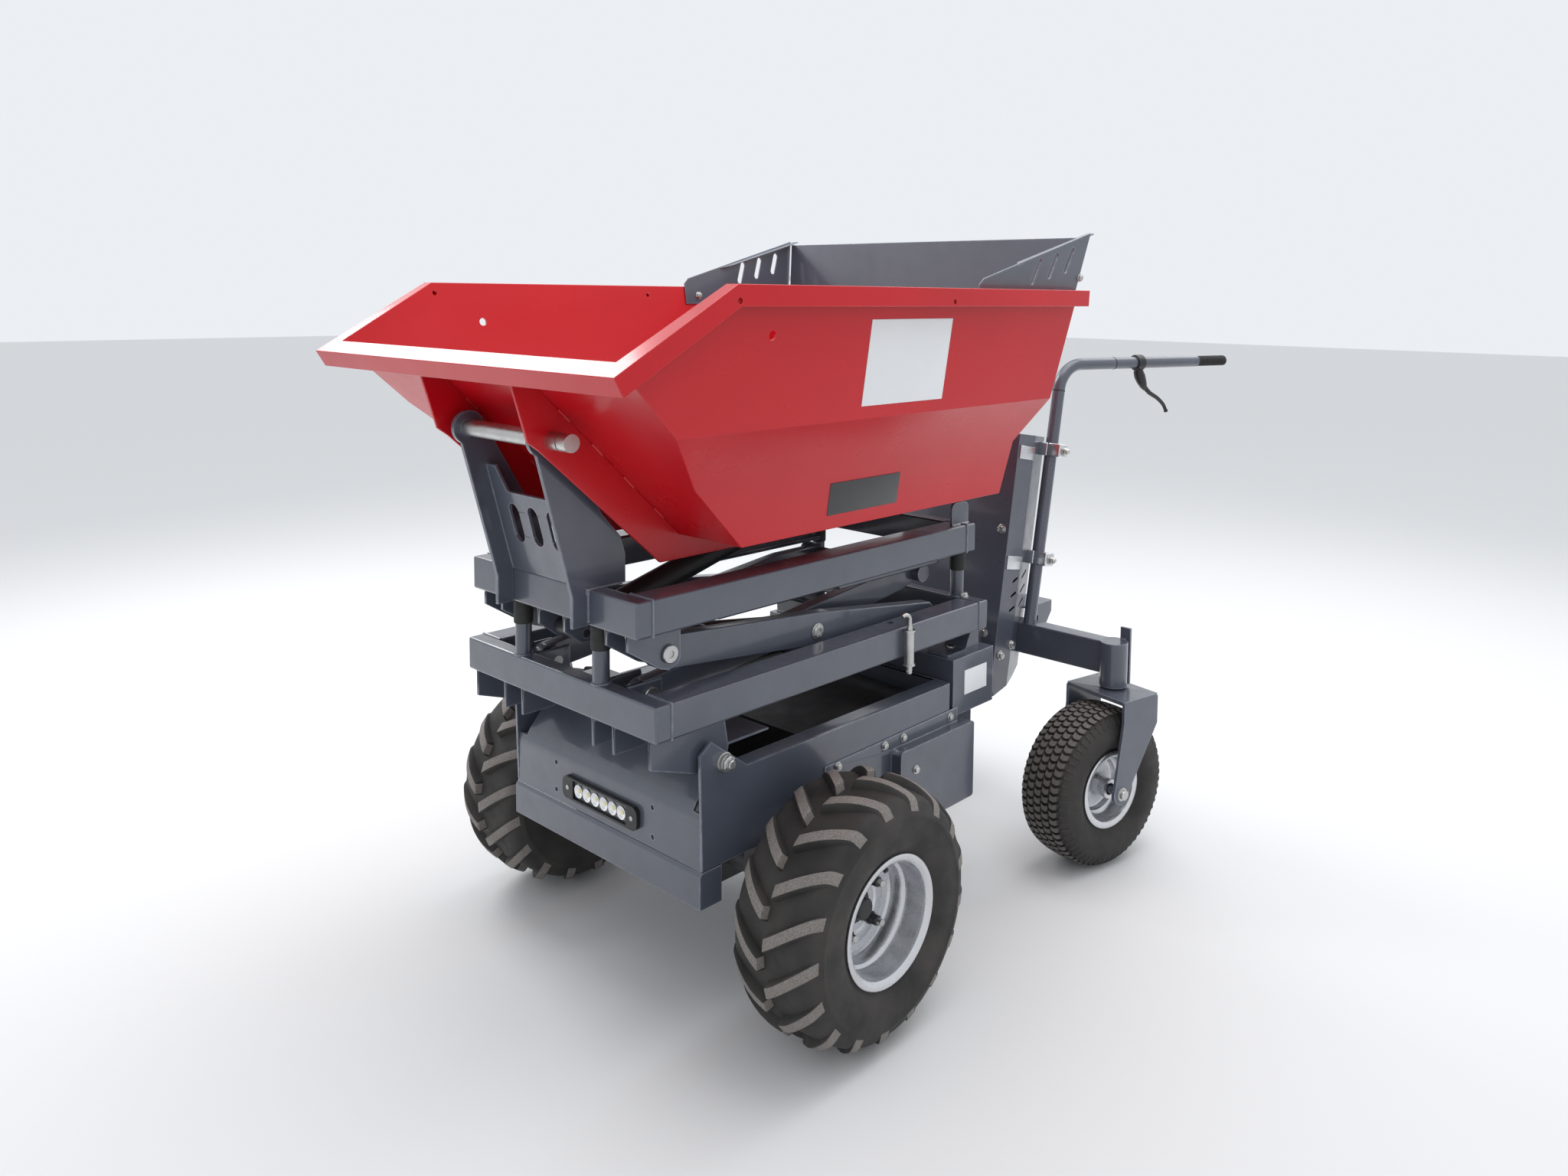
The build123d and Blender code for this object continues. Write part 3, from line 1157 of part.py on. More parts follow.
# rollers: each turns on a stub of its arm's pin, and is fixed to it here
for name, place, inner_face, outer_face in (
    ("lower_rollers", LOWER_ROLLER, ROLLER_Y - ROLLER_WIDTH / 2, OUTER_ARM_Y + ARM_WIDTH / 2),
    ("upper_rollers", UPPER_ROLLER, INNER_ARM_Y + ARM_WIDTH / 2, ROLLER_Y + ROLLER_WIDTH / 2),
):
    with BuildPart() as rollers:
        for side in (1, -1):
            with BuildSketch(side_plane(side * (ROLLER_Y - ROLLER_WIDTH / 2))):
                with Locations((ahead(place[0]), place[1])):
                    Circle(ROLLER_R)
            extrude(amount=-side * ROLLER_WIDTH)
            with BuildSketch(side_plane(side * inner_face)):
                with Locations((ahead(place[0]), place[1])):
                    Circle(ARM_PIN_R - 3.0)
            extrude(amount=-side * (outer_face - inner_face))
    finish(rollers, name)

# ---------------------------------------------------------------- upper frame, tower and tip shaft

TAB_PLACE = (-569.0, UPPER_HALF_WIDTH - 20.5)
TAB_WIDTH = 60.0
TAB_TOP = 855.0
TAB_CORNER_R = 14.0
EAR_FRONT = UPPER_FRONT - PLATE_SETBACK
EAR_REAR = 218.8
upper_rails = rail_frame(UPPER_FRONT, UPPER_REAR, UPPER_HALF_WIDTH, UPPER_BOTTOM)

with BuildPart() as upper_frame:
    add(upper_rails)
    for side in (1, -1):
        for y in (EAR_Y, UPPER_CLEVIS_Y):
            with BuildSketch(side_plane(side * y)):
                with BuildLine():
                    Polyline(
                        *side_points(
                            [
                                (EAR_FRONT, UPPER_BOTTOM),
                                (EAR_FRONT, UPPER_BOTTOM - 26.0),
                                (UPPER_PIVOT[0] + 20.0, UPPER_PIVOT[1] - 22.0),
                                (UPPER_PIVOT[0], UPPER_PIVOT[1] - ARM_EYE_R + 1.0),
                                (UPPER_PIVOT[0] - 20.0, UPPER_PIVOT[1] - 22.0),
                                (EAR_REAR, UPPER_PIVOT[1] - 12.0),
                                (EAR_REAR, UPPER_BOTTOM),
                            ]
                        ),
                        close=True,
                    )
                make_face()
                with Locations((ahead(UPPER_PIVOT[0]), UPPER_PIVOT[1])):
                    Circle(ARM_PIN_R + RUNNING_GAP, mode=Mode.SUBTRACT)
            extrude(amount=PLATE / 2, both=True)
        # clevis of the tip cylinder
        with BuildSketch(side_plane(side * TIP_FOOT_CHEEK_Y)):
            with BuildLine():
                Polyline(
                    *side_points(
                        [
                            (EAR_FRONT, UPPER_BOTTOM),
                            (EAR_FRONT, UPPER_BOTTOM - 28.0),
                            (TIP_CYLINDER_FOOT[0] + 10.0, TIP_CYLINDER_FOOT[1] - CYLINDER_EYE_R),
                            (TIP_CYLINDER_FOOT[0] - CYLINDER_EYE_R, TIP_CYLINDER_FOOT[1] - CYLINDER_EYE_R),
                            (TIP_CYLINDER_FOOT[0] - CYLINDER_EYE_R, UPPER_BOTTOM + 20.0),
                            (UPPER_FRONT - END_RAIL_WIDTH, UPPER_BOTTOM + 20.0),
                            (UPPER_FRONT - END_RAIL_WIDTH, UPPER_BOTTOM),
                        ]
                    ),
                    close=True,
                )
            make_face()
            with Locations((ahead(TIP_CYLINDER_FOOT[0]), TIP_CYLINDER_FOOT[1])):
                Circle(CYLINDER_PIN_R, mode=Mode.SUBTRACT)
        extrude(amount=CYLINDER_CHEEK / 2, both=True)
        # runner over the inner arms' rollers, hung from the side rail
        runner_outer_y = UPPER_HALF_WIDTH - SIDE_RAIL_WIDTH + PLATE
        with BuildSketch(Plane.XY.offset(UPPER_RUNNER_BOTTOM)):
            with Locations(
                (ahead((RUNNER_FRONT + RUNNER_REAR) / 2), side * (RUNNER_INNER_Y + runner_outer_y) / 2)
            ):
                Rectangle(RUNNER_FRONT - RUNNER_REAR, runner_outer_y - RUNNER_INNER_Y)
        extrude(amount=RUNNER_SHEET)
        with BuildSketch(Plane.XY.offset(UPPER_RUNNER_BOTTOM + RUNNER_SHEET)):
            web_y = side * (UPPER_HALF_WIDTH - SIDE_RAIL_WIDTH + PLATE / 2)
            with Locations((ahead((RUNNER_FRONT + RUNNER_REAR) / 2), web_y)):
                Rectangle(RUNNER_FRONT - RUNNER_REAR, PLATE)
        extrude(amount=UPPER_BOTTOM - UPPER_RUNNER_BOTTOM - RUNNER_SHEET)
        # rear tabs that steady the skip
        with BuildSketch(side_plane(side * (TAB_PLACE[1] - PLATE / 2))):
            with Locations((ahead(TAB_PLACE[0]), TAB_TOP - TAB_CORNER_R)):
                SlotCenterToCenter(TAB_WIDTH - 2 * TAB_CORNER_R, 2 * TAB_CORNER_R)
            with Locations((ahead(TAB_PLACE[0]), (UPPER_TOP + TAB_TOP - TAB_CORNER_R) / 2)):
                Rectangle(TAB_WIDTH, TAB_TOP - TAB_CORNER_R - UPPER_TOP)
        extrude(amount=-side * PLATE)
finish(upper_frame, "upper_frame")

with BuildPart() as upper_pivot_pins:
    for side in (1, -1):
        inner_end = UPPER_CLEVIS_Y - PLATE / 2
        outer_end = EAR_Y + PLATE / 2 + SIDE_GAP
        with BuildSketch(side_plane(side * inner_end)):
            with Locations((ahead(UPPER_PIVOT[0]), UPPER_PIVOT[1])):
                Circle(ARM_PIN_R)
        extrude(amount=-side * (outer_end - inner_end))
        with BuildSketch(side_plane(side * outer_end)):
            with Locations((ahead(UPPER_PIVOT[0]), UPPER_PIVOT[1])):
                Circle(PIN_HEAD_R)
        extrude(amount=-side * PIN_HEAD)
finish(upper_pivot_pins, "upper_pivot_pins")

TOWER_FRONT_FOOT = (368.0, UPPER_BOTTOM)
TOWER_FOOT_BEND = (368.0, 797.0)  # the front edge stands upright below it
TOWER_TOP = (435.0, 1050.0)  # where the tower's leaning front edge would reach the tip shaft
TOWER_LEAN = (TOWER_TOP[0] - TOWER_FOOT_BEND[0]) / (TOWER_TOP[1] - TOWER_FOOT_BEND[1])
CROSS_PLATE_TOP = 1003.0
NOTCH_BOTTOM = 957.0
SLOT_Y = 58.0
SLOT_MIDDLE = 900.0
SLOT_HEIGHT = 74.0
SLOT_WIDTH = 29.0
TOWER_INNER_Y = TOWER_OUTER_Y - TOWER_PLATE

with BuildPart() as tower:
    for side in (1, -1):
        with BuildSketch(side_plane(side * (TOWER_OUTER_Y - TOWER_PLATE / 2))):
            with BuildLine():
                Polyline(
                    *side_points(
                        [
                            TOWER_FOOT_BEND,
                            TOWER_FRONT_FOOT,
                            (UPPER_FRONT, UPPER_BOTTOM),
                            (UPPER_FRONT, UPPER_TOP),
                            (258.0, UPPER_TOP),
                            (258.0, 857.0),
                            (268.0, 889.0),
                            (306.0, 932.0),
                            (TIP_SHAFT[0] - 24.0, TIP_SHAFT[1] + 18.0),
                            (TIP_SHAFT[0], TIP_SHAFT[1] + TOWER_HEAD_R - 1.0),
                            (TIP_SHAFT[0] + TOWER_HEAD_R - 2.0, TIP_SHAFT[1]),
                            (435.0, 1050.0),
                        ]
                    ),
                    close=True,
                )
            make_face()
            with Locations((ahead(TIP_SHAFT[0]), TIP_SHAFT[1])):
                Circle(TOWER_HEAD_R)
                Circle(TIP_SHAFT_R, mode=Mode.SUBTRACT)
        extrude(amount=TOWER_PLATE / 2, both=True)
    lean = atan2(TOWER_LEAN, 1.0)
    cross_plane = Plane(
        origin=(ahead(UPPER_FRONT), 0, UPPER_TOP), x_dir=(0, 1, 0), z_dir=(cos(lean), 0, -sin(lean))
    )
    rise = 1.0 / cos(lean)
    with BuildSketch(cross_plane):
        with BuildLine():
            Polyline(
                (-TOWER_INNER_Y, 0.0),
                (-TOWER_INNER_Y, (CROSS_PLATE_TOP - UPPER_TOP) * rise),
                (-TOWER_INNER_Y + 26.0, (CROSS_PLATE_TOP - UPPER_TOP) * rise),
                (-TOWER_INNER_Y + 46.0, (NOTCH_BOTTOM - UPPER_TOP) * rise),
                (TOWER_INNER_Y - 46.0, (NOTCH_BOTTOM - UPPER_TOP) * rise),
                (TOWER_INNER_Y - 26.0, (CROSS_PLATE_TOP - UPPER_TOP) * rise),
                (TOWER_INNER_Y, (CROSS_PLATE_TOP - UPPER_TOP) * rise),
                (TOWER_INNER_Y, 0.0),
                close=True,
            )
        make_face()
        slot_height = (SLOT_MIDDLE - UPPER_TOP) * rise
        with Locations(*[Location((y, slot_height), 90.0) for y in (-SLOT_Y, 0.0, SLOT_Y)]):
            SlotOverall(SLOT_HEIGHT, SLOT_WIDTH, mode=Mode.SUBTRACT)
    extrude(amount=-PLATE)
finish(tower, "tower")

SHAFT_END_Y = 196.0
SHAFT_GROOVE_Y = 172.0

with BuildPart() as tip_shaft:
    with BuildSketch(side_plane(0)):
        with Locations((ahead(TIP_SHAFT[0]), TIP_SHAFT[1])):
            Circle(TIP_SHAFT_R)
    extrude(amount=SHAFT_END_Y, both=True)
    for side in (1, -1):
        with BuildSketch(side_plane(side * SHAFT_GROOVE_Y)):
            with Locations((ahead(TIP_SHAFT[0]), TIP_SHAFT[1])):
                Circle(TIP_SHAFT_R)
                Circle(TIP_SHAFT_R - 3.0, mode=Mode.SUBTRACT)
        extrude(amount=2.0, both=True, mode=Mode.SUBTRACT)
finish(tip_shaft, "tip_shaft")

# ---------------------------------------------------------------- skip

FRONT_SLOPE = tan(radians(SKIP_FRONT_SLOPE))
SKIP_HEADROOM = 60.0  # how far the cutting solids stand over the rim


def skip_solid(inset, top):
    """The skip's solid shape up to a height: its side view crossed with its front view."""
    side_view = [
        (SKIP_BOTTOM_REAR, SKIP_BOTTOM),
        (SKIP_BOTTOM_FRONT, SKIP_BOTTOM),
        (SKIP_BOTTOM_FRONT + (top - SKIP_BOTTOM) / FRONT_SLOPE, top),
        (SKIP_BOTTOM_REAR - (top - SKIP_BOTTOM) * SKIP_REAR_LEAN, top),
    ]
    (low_y, low_z), (high_y, high_z) = SKIP_SECTION[-2:]
    top_y = high_y + (top - high_z) * (high_y - low_y) / (high_z - low_z)
    half_section = SKIP_SECTION[:-1] + [(top_y, top)]
    with BuildPart() as solid:
        with BuildSketch(side_plane(0)):
            with BuildLine():
                Polyline(*side_points(side_view), close=True)
            make_face()
            if inset:
                offset(amount=-inset, kind=Kind.INTERSECTION)
        extrude(amount=2 * RIM_HALF_WIDTH_TOP, both=True)
        with BuildSketch(FRONT):
            with BuildLine():
                Polyline(*half_section, *[(-y, z) for y, z in reversed(half_section)], close=True)
            make_face()
            if inset:
                offset(amount=-inset, kind=Kind.INTERSECTION)
        extrude(amount=4000.0, both=True, mode=Mode.INTERSECT)
    return solid.part


def rim_band(inset, depth):
    """A band that follows the rim: level from the rear, then down to the lip."""
    slope = atan2(SKIP_TOP - LIP_OUTER[1], LIP_OUTER[0] - RIM_BREAK)
    down = (-sin(slope), -cos(slope))
    mitre = tan(slope / 2)
    lip = (
        LIP_OUTER[0] - inset * cos(slope) + inset * down[0],
        LIP_OUTER[1] + inset * sin(slope) + inset * down[1],
    )
    top = SKIP_TOP - inset
    knee = RIM_BREAK - inset * mitre
    low_knee = RIM_BREAK - (inset + depth) * mitre
    points = [
        (RIM_REAR, top),
        (knee, top),
        lip,
        (lip[0] + depth * down[0], lip[1] + depth * down[1]),
        (low_knee, top - depth),
        (RIM_REAR, top - depth),
    ]
    half = [
        (RIM_HALF_WIDTH_LIP - inset - 3.0, LIP_OUTER[1] - 60.0),
        (RIM_HALF_WIDTH_TOP - inset, SKIP_TOP + 10.0),
    ]
    with BuildPart() as band:
        with BuildSketch(side_plane(0)):
            with BuildLine():
                Polyline(*side_points(points), close=True)
            make_face()
        extrude(amount=2 * RIM_HALF_WIDTH_TOP, both=True)
        with BuildSketch(FRONT):
            with BuildLine():
                Polyline(*half, *[(-y, z) for y, z in reversed(half)], close=True)
            make_face()
        extrude(amount=4000.0, both=True, mode=Mode.INTERSECT)
    return band.part


skip_outside = skip_solid(0.0, SKIP_TOP + SKIP_HEADROOM)
skip_inside = skip_solid(SKIP_WALL, SKIP_TOP + SKIP_HEADROOM)
rim_outside = rim_band(0.0, RIM_DEPTH)
rim_underside = rim_band(SKIP_WALL, RIM_DEPTH)

with BuildPart() as below_rim:
    with BuildSketch(side_plane(0)):
        with BuildLine():
            Polyline(
                *side_points(
                    [
                        (RIM_REAR - 50.0, SKIP_TOP - SKIP_WALL),
                        (RIM_BREAK, SKIP_TOP - SKIP_WALL),
                        (LIP_OUTER[0], LIP_OUTER[1] - SKIP_WALL),
                        (LIP_OUTER[0], SKIP_BOTTOM - 100.0),
                        (RIM_REAR - 50.0, SKIP_BOTTOM - 100.0),
                    ]
                ),
                close=True,
            )
        make_face()
    extrude(amount=2 * RIM_HALF_WIDTH_TOP, both=True)

# round holes in each side wall, square to it
SIDE_HOLES = [
    # (ahead, height, radius)
    (205.0, 1245.5, 8.0),
    (306.0, 1304.0, 5.0),
    (-228.0, 1304.0, 5.0),
]
WALL_LEAN = atan2(SKIP_SECTION[3][0] - SKIP_SECTION[2][0], SKIP_SECTION[3][1] - SKIP_SECTION[2][1])

with BuildPart() as skip_tub:
    add(rim_outside)
    add(rim_underside, mode=Mode.SUBTRACT)
    add(skip_outside.intersect(below_rim.part))
    add(skip_inside, mode=Mode.SUBTRACT)
    for side in (1, -1):
        for x, height, radius in SIDE_HOLES:
            wall_y = SKIP_SECTION[2][0] + (height - SKIP_SECTION[2][1]) * tan(WALL_LEAN)
            out_of_wall = Vector(0, side * cos(WALL_LEAN), -sin(WALL_LEAN))
            with BuildSketch(Plane(origin=(ahead(x), side * wall_y, height), z_dir=out_of_wall)):
                Circle(radius)
            extrude(amount=RIM_DEPTH, both=True, mode=Mode.SUBTRACT)
finish(skip_tub, "skip_tub")

RIB_FRONT = [(499.0, 1180.0), (465.5, 1071.0), (445.0, 1056.0), (200.0, RIB_BOTTOM)]
RIB_REAR = -560.0

with BuildPart() as skip_ribs:
    for side in (1, -1):
        with BuildSketch(side_plane(side * RIB_Y)):
            with BuildLine():
                Polyline(
                    *side_points(
                        [
                            (SKIP_BOTTOM_FRONT, SKIP_BOTTOM),
                            (SKIP_BOTTOM_FRONT + (1200.0 - SKIP_BOTTOM) / FRONT_SLOPE, 1200.0),
                            *RIB_FRONT,
                            (RIB_REAR + 40.0, RIB_BOTTOM),
                            (RIB_REAR, SKIP_BOTTOM),
                        ]
                    ),
                    close=True,
                )
            make_face()
            with Locations((ahead(TIP_SHAFT[0]), TIP_SHAFT[1])):
                Circle(TIP_SHAFT_R + RUNNING_GAP, mode=Mode.SUBTRACT)
        extrude(amount=PLATE / 2, both=True)
        with BuildSketch(side_plane(side * CYLINDER_CHEEK_Y)):
            with BuildLine():
                Polyline(
                    *side_points(
                        [
                            (TIP_CYLINDER_EYE[0] - 40.0, SKIP_BOTTOM),
                            (TIP_CYLINDER_EYE[0] + 40.0, SKIP_BOTTOM),
                            (TIP_CYLINDER_EYE[0] + 14.0, TIP_CYLINDER_EYE[1] - 14.0),
                            (TIP_CYLINDER_EYE[0] - 14.0, TIP_CYLINDER_EYE[1] - 14.0),
                        ]
                    ),
                    close=True,
                )
            make_face()
            with Locations((ahead(TIP_CYLINDER_EYE[0]), TIP_CYLINDER_EYE[1])):
                Circle(CYLINDER_PIN_R, mode=Mode.SUBTRACT)
        extrude(amount=CYLINDER_CHEEK / 2, both=True)
finish(skip_ribs, "skip_ribs")

GUARD_SHEET = 3.0
GUARD_BOTTOM = 1283.0
GUARD_TOP_REAR = 1449.0
GUARD_TOP_FRONT = 1345.0
GUARD_FRONT = -340.0
GUARD_GAP = 1.0  # between the side guards and the rear guard's plane
REAR_LEAN = atan2(SKIP_REAR_LEAN, 1.0)
# slanted slots of the side guards: how far ahead of the axle and how high their middles are
GUARD_SLOTS = [
    # (ahead, height)
    (-530.0, 1362.0),
    (-590.0, 1375.0),
    (-650.0, 1388.0),
]
GUARD_SLOT_HEIGHT = 58.0
GUARD_SLOT_WIDTH = 13.0
GUARD_SLOT_SLANT = 22.0


def guard_rear_x(height):
    """Rear edge of a side guard at a height, ahead of the axle: just inside the rear wall."""
    return SKIP_BOTTOM_REAR - (height - SKIP_BOTTOM) * SKIP_REAR_LEAN + SKIP_WALL / cos(REAR_LEAN) + GUARD_GAP


for side_name, side in (("left", 1), ("right", -1)):
    wall_y = SKIP_SECTION[3][0] - SKIP_WALL / cos(WALL_LEAN) - (SKIP_TOP - GUARD_BOTTOM) * tan(WALL_LEAN)
    # local x runs forward on the right hand guard and backward on the left hand one
    guard_plane = Plane(
        origin=(ahead(0), side * (wall_y - SEAT_GAP), GUARD_BOTTOM),
        x_dir=(-side, 0, 0),
        z_dir=(0, side * cos(WALL_LEAN), -sin(WALL_LEAN)),
    )
    up = 1.0 / cos(WALL_LEAN)
    outline = [
        (GUARD_FRONT, 0.0),
        (GUARD_FRONT, (GUARD_TOP_FRONT - 12.0 - GUARD_BOTTOM) * up),
        (GUARD_FRONT - 12.0, (GUARD_TOP_FRONT - GUARD_BOTTOM) * up),
        (guard_rear_x(GUARD_TOP_REAR), (GUARD_TOP_REAR - GUARD_BOTTOM) * up),
        (guard_rear_x(GUARD_BOTTOM), 0.0),
    ]
    with BuildPart() as guard:
        with BuildSketch(guard_plane):
            with BuildLine():
                Polyline(*[(-side * x, z) for x, z in outline], close=True)
            make_face()
            for x, z in GUARD_SLOTS:
                slot = Location((-side * x, (z - GUARD_BOTTOM) * up), 90.0 - side * GUARD_SLOT_SLANT)
                with Locations(slot):
                    SlotOverall(GUARD_SLOT_HEIGHT, GUARD_SLOT_WIDTH, mode=Mode.SUBTRACT)
        extrude(amount=-GUARD_SHEET)
    finish(guard, f"guard_{side_name}")

REAR_GUARD_TOP = 1442.0
REAR_GUARD_HALF_WIDTH = 420.0

rear_wall_x = SKIP_BOTTOM_REAR - (GUARD_BOTTOM - SKIP_BOTTOM) * SKIP_REAR_LEAN + SKIP_WALL / cos(REAR_LEAN)
rear_guard_plane = Plane(
    origin=(ahead(rear_wall_x + SEAT_GAP), 0, GUARD_BOTTOM),
    x_dir=(0, 1, 0),
    z_dir=(cos(REAR_LEAN), 0, sin(REAR_LEAN)),
)
rear_guard_height = REAR_GUARD_TOP - GUARD_BOTTOM
with BuildPart() as guard_rear:
    with BuildSketch(rear_guard_plane):
        with BuildLine():
            Polyline(
                (-REAR_GUARD_HALF_WIDTH, 0.0),
                (REAR_GUARD_HALF_WIDTH, 0.0),
                (REAR_GUARD_HALF_WIDTH + rear_guard_height * tan(WALL_LEAN), rear_guard_height),
                (-REAR_GUARD_HALF_WIDTH - rear_guard_height * tan(WALL_LEAN), rear_guard_height),
                close=True,
            )
        make_face()
    extrude(amount=GUARD_SHEET)
finish(guard_rear, "guard_rear")

# ---------------------------------------------------------------- cylinders

# foot and eye are the two pins' places, ahead of the axle and up from the ground
CYLINDERS = [
    # (name, foot, eye, barrel radius, rod radius, dead length past the foot's pin, foot's width)
    ("lift", LIFT_CYLINDER_FOOT, LIFT_CYLINDER_EYE, 27.0, 14.0, 60.0, CYLINDER_EYE_WIDTH),
    ("tip", TIP_CYLINDER_FOOT, TIP_CYLINDER_EYE, 25.0, 13.0, 45.0, TIP_FOOT_WIDTH),
]
GLAND_LENGTH = 30.0
BARREL_START = CYLINDER_EYE_R + 14.0  # from the foot's pin
NECK_DEPTH = CYLINDER_EYE_R * 1.4

for name, foot, eye, barrel_r, rod_r, tail, foot_width in CYLINDERS:
    run = Vector(eye[0] - foot[0], 0, eye[1] - foot[1])
    length = run.length
    along = Plane(origin=(ahead(foot[0]), 0, foot[1]), x_dir=(0, 1, 0), z_dir=run.normalized())
    barrel_end = length - CYLINDER_EYE_R - GLAND_LENGTH - SIDE_GAP
    with BuildPart() as barrel:
        with BuildSketch(along.offset(BARREL_START)):
            Circle(barrel_r)
        extrude(amount=barrel_end - BARREL_START)
        with BuildSketch(along.offset(barrel_end - GLAND_LENGTH)):
            Circle(barrel_r + 3.0)
        extrude(amount=GLAND_LENGTH)
        with BuildSketch(side_plane(0)):
            with Locations((ahead(foot[0]), foot[1])):
                Circle(CYLINDER_EYE_R)
        extrude(amount=foot_width / 2, both=True)
        with BuildSketch(along):
            Rectangle(CYLINDER_EYE_WIDTH, NECK_DEPTH)
        extrude(amount=BARREL_START + SIDE_GAP)
        with BuildSketch(along.offset(tail)):
            Circle(rod_r + RUNNING_GAP)
        extrude(amount=length, mode=Mode.SUBTRACT)
        # the foot's pin turns with the barrel, in the cheeks' holes
        with BuildSketch(side_plane(0)):
            with Locations((ahead(foot[0]), foot[1])):
                Circle(CYLINDER_PIN_R - RUNNING_GAP)
        extrude(amount=foot_width / 2 + SIDE_GAP + CYLINDER_CHEEK, both=True)
    finish(barrel, f"{name}_barrel")

    with BuildPart() as rod:
        with BuildSketch(along.offset(tail + SIDE_GAP)):
            Circle(rod_r)
        extrude(amount=length - tail - SIDE_GAP - CYLINDER_EYE_R / 2)
        with BuildSketch(side_plane(0)):
            with Locations((ahead(eye[0]), eye[1])):
                Circle(CYLINDER_EYE_R)
        extrude(amount=CYLINDER_EYE_WIDTH / 2, both=True)
    finish(rod, f"{name}_rod")

# ---------------------------------------------------------------- casters

for side_name, side in (("left", 1), ("right", -1)):
    yaw = -side * CASTER_YAW
    swivel = Plane(
        origin=(ahead(-CASTER_AXIS_BEHIND_AXLE), side * CASTER_AXIS_Y, 0),
        x_dir=(cos(radians(yaw)), sin(radians(yaw)), 0),
        z_dir=(0, 0, 1),
    )
    # across the wheel: local x is forward along the fork, local y is up
    across = Plane(origin=swivel.origin, x_dir=swivel.x_dir, z_dir=-swivel.y_dir)
    axle_place = (CASTER_TRAIL, CASTER_TYRE_R)
    fork_half = FORK_LEG_INNER + FORK_LEG
    with BuildPart() as fork:
        with BuildSketch(swivel.offset(FORK_PLATE_BOTTOM)):
            with Locations((4.0, 0)):
                RectangleRounded(FORK_LENGTH, 2 * fork_half, 6.0)
        extrude(amount=FORK_PLATE)
        with BuildSketch(swivel.offset(FORK_PLATE_BOTTOM + FORK_PLATE)):
            Circle(STEM_R)
        extrude(amount=HEAD_TUBE_TOP - PLATE - SIDE_GAP - FORK_PLATE_BOTTOM - FORK_PLATE)
        with BuildSketch(swivel.offset(FORK_PLATE_BOTTOM + FORK_PLATE)):
            Circle(HEAD_TUBE_R - 4.0)
        extrude(amount=HEAD_TUBE_BOTTOM - SIDE_GAP - FORK_PLATE_BOTTOM - FORK_PLATE)
        for leg in (1, -1):
            with BuildSketch(across.offset(leg * (FORK_LEG_INNER + FORK_LEG / 2))):
                with BuildLine():
                    Polyline(
                        (4.0 - FORK_LENGTH / 2, FORK_PLATE_BOTTOM + FORK_PLATE / 2),
                        (4.0 + FORK_LENGTH / 2, FORK_PLATE_BOTTOM + FORK_PLATE / 2),
                        (4.0 + FORK_LENGTH / 2, FORK_PLATE_BOTTOM - 40.0),
                        (CASTER_TRAIL + FORK_EYE_R - 1.0, CASTER_TYRE_R),
                        (CASTER_TRAIL - FORK_EYE_R + 1.0, CASTER_TYRE_R),
                        (4.0 - FORK_LENGTH / 2, FORK_PLATE_BOTTOM - 60.0),
                        close=True,
                    )
                make_face()
                with Locations(axle_place):
                    Circle(FORK_EYE_R)
            extrude(amount=FORK_LEG / 2, both=True)
        with BuildSketch(across):
            with Locations(axle_place):
                Circle(CASTER_AXLE_R)
        extrude(amount=fork_half + 10.0, both=True)
    finish(fork, f"caster_fork_{side_name}")

    axle_origin = swivel.origin + swivel.x_dir * CASTER_TRAIL + Vector(0, 0, CASTER_TYRE_R)
    radial = Plane(origin=axle_origin, x_dir=swivel.y_dir, z_dir=swivel.x_dir)
    spin = Axis(axle_origin, swivel.y_dir)
    half = CASTER_TYRE_WIDTH / 2
    seat_half = CASTER_RIM_WIDTH / 2
    with BuildPart() as caster_tyre:
        with BuildSketch(radial):
            with BuildLine():
                Polyline(
                    (-seat_half, CASTER_RIM_SEAT_R),
                    (-seat_half, CASTER_RIM_FLANGE_R + 3.0),
                    (-half, CASTER_RIM_FLANGE_R + 34.0),
                    (-half + 3.0, CASTER_TYRE_R - 32.0),
                    (-half + 18.0, CASTER_TYRE_R - 8.0),
                    (-half + 42.0, CASTER_TYRE_R),
                    (half - 42.0, CASTER_TYRE_R),
                    (half - 18.0, CASTER_TYRE_R - 8.0),
                    (half - 3.0, CASTER_TYRE_R - 32.0),
                    (half, CASTER_RIM_FLANGE_R + 34.0),
                    (seat_half, CASTER_RIM_FLANGE_R + 3.0),
                    (seat_half, CASTER_RIM_SEAT_R),
                    close=True,
                )
            make_face()
        revolve(axis=spin)
    finish(caster_tyre, f"caster_tyre_{side_name}")

    hub_half = FORK_LEG_INNER - SIDE_GAP
    with BuildPart() as caster_rim:
        with BuildSketch(radial):
            with BuildLine():
                Polyline(
                    (-seat_half - 4.0, CASTER_RIM_FLANGE_R),
                    (-seat_half, CASTER_RIM_FLANGE_R),
                    (-seat_half, CASTER_RIM_SEAT_R),
                    (seat_half, CASTER_RIM_SEAT_R),
                    (seat_half, CASTER_RIM_FLANGE_R),
                    (seat_half + 4.0, CASTER_RIM_FLANGE_R),
                    (seat_half + 4.0, CASTER_RIM_SEAT_R - 4.0),
                    (4.0, CASTER_RIM_SEAT_R - 16.0),
                    (4.0, 22.0),
                    (hub_half, 22.0),
                    (hub_half, CASTER_AXLE_R + RUNNING_GAP),
                    (-hub_half, CASTER_AXLE_R + RUNNING_GAP),
                    (-hub_half, 22.0),
                    (-4.0, 22.0),
                    (-4.0, CASTER_RIM_SEAT_R - 16.0),
                    (-seat_half - 4.0, CASTER_RIM_SEAT_R - 4.0),
                    close=True,
                )
            make_face()
        revolve(axis=spin)
    finish(caster_rim, f"caster_rim_{side_name}")
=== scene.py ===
"""Looks of a pedestrian-controlled tipping dumper: its paint, tyres, fastenings and small fittings."""

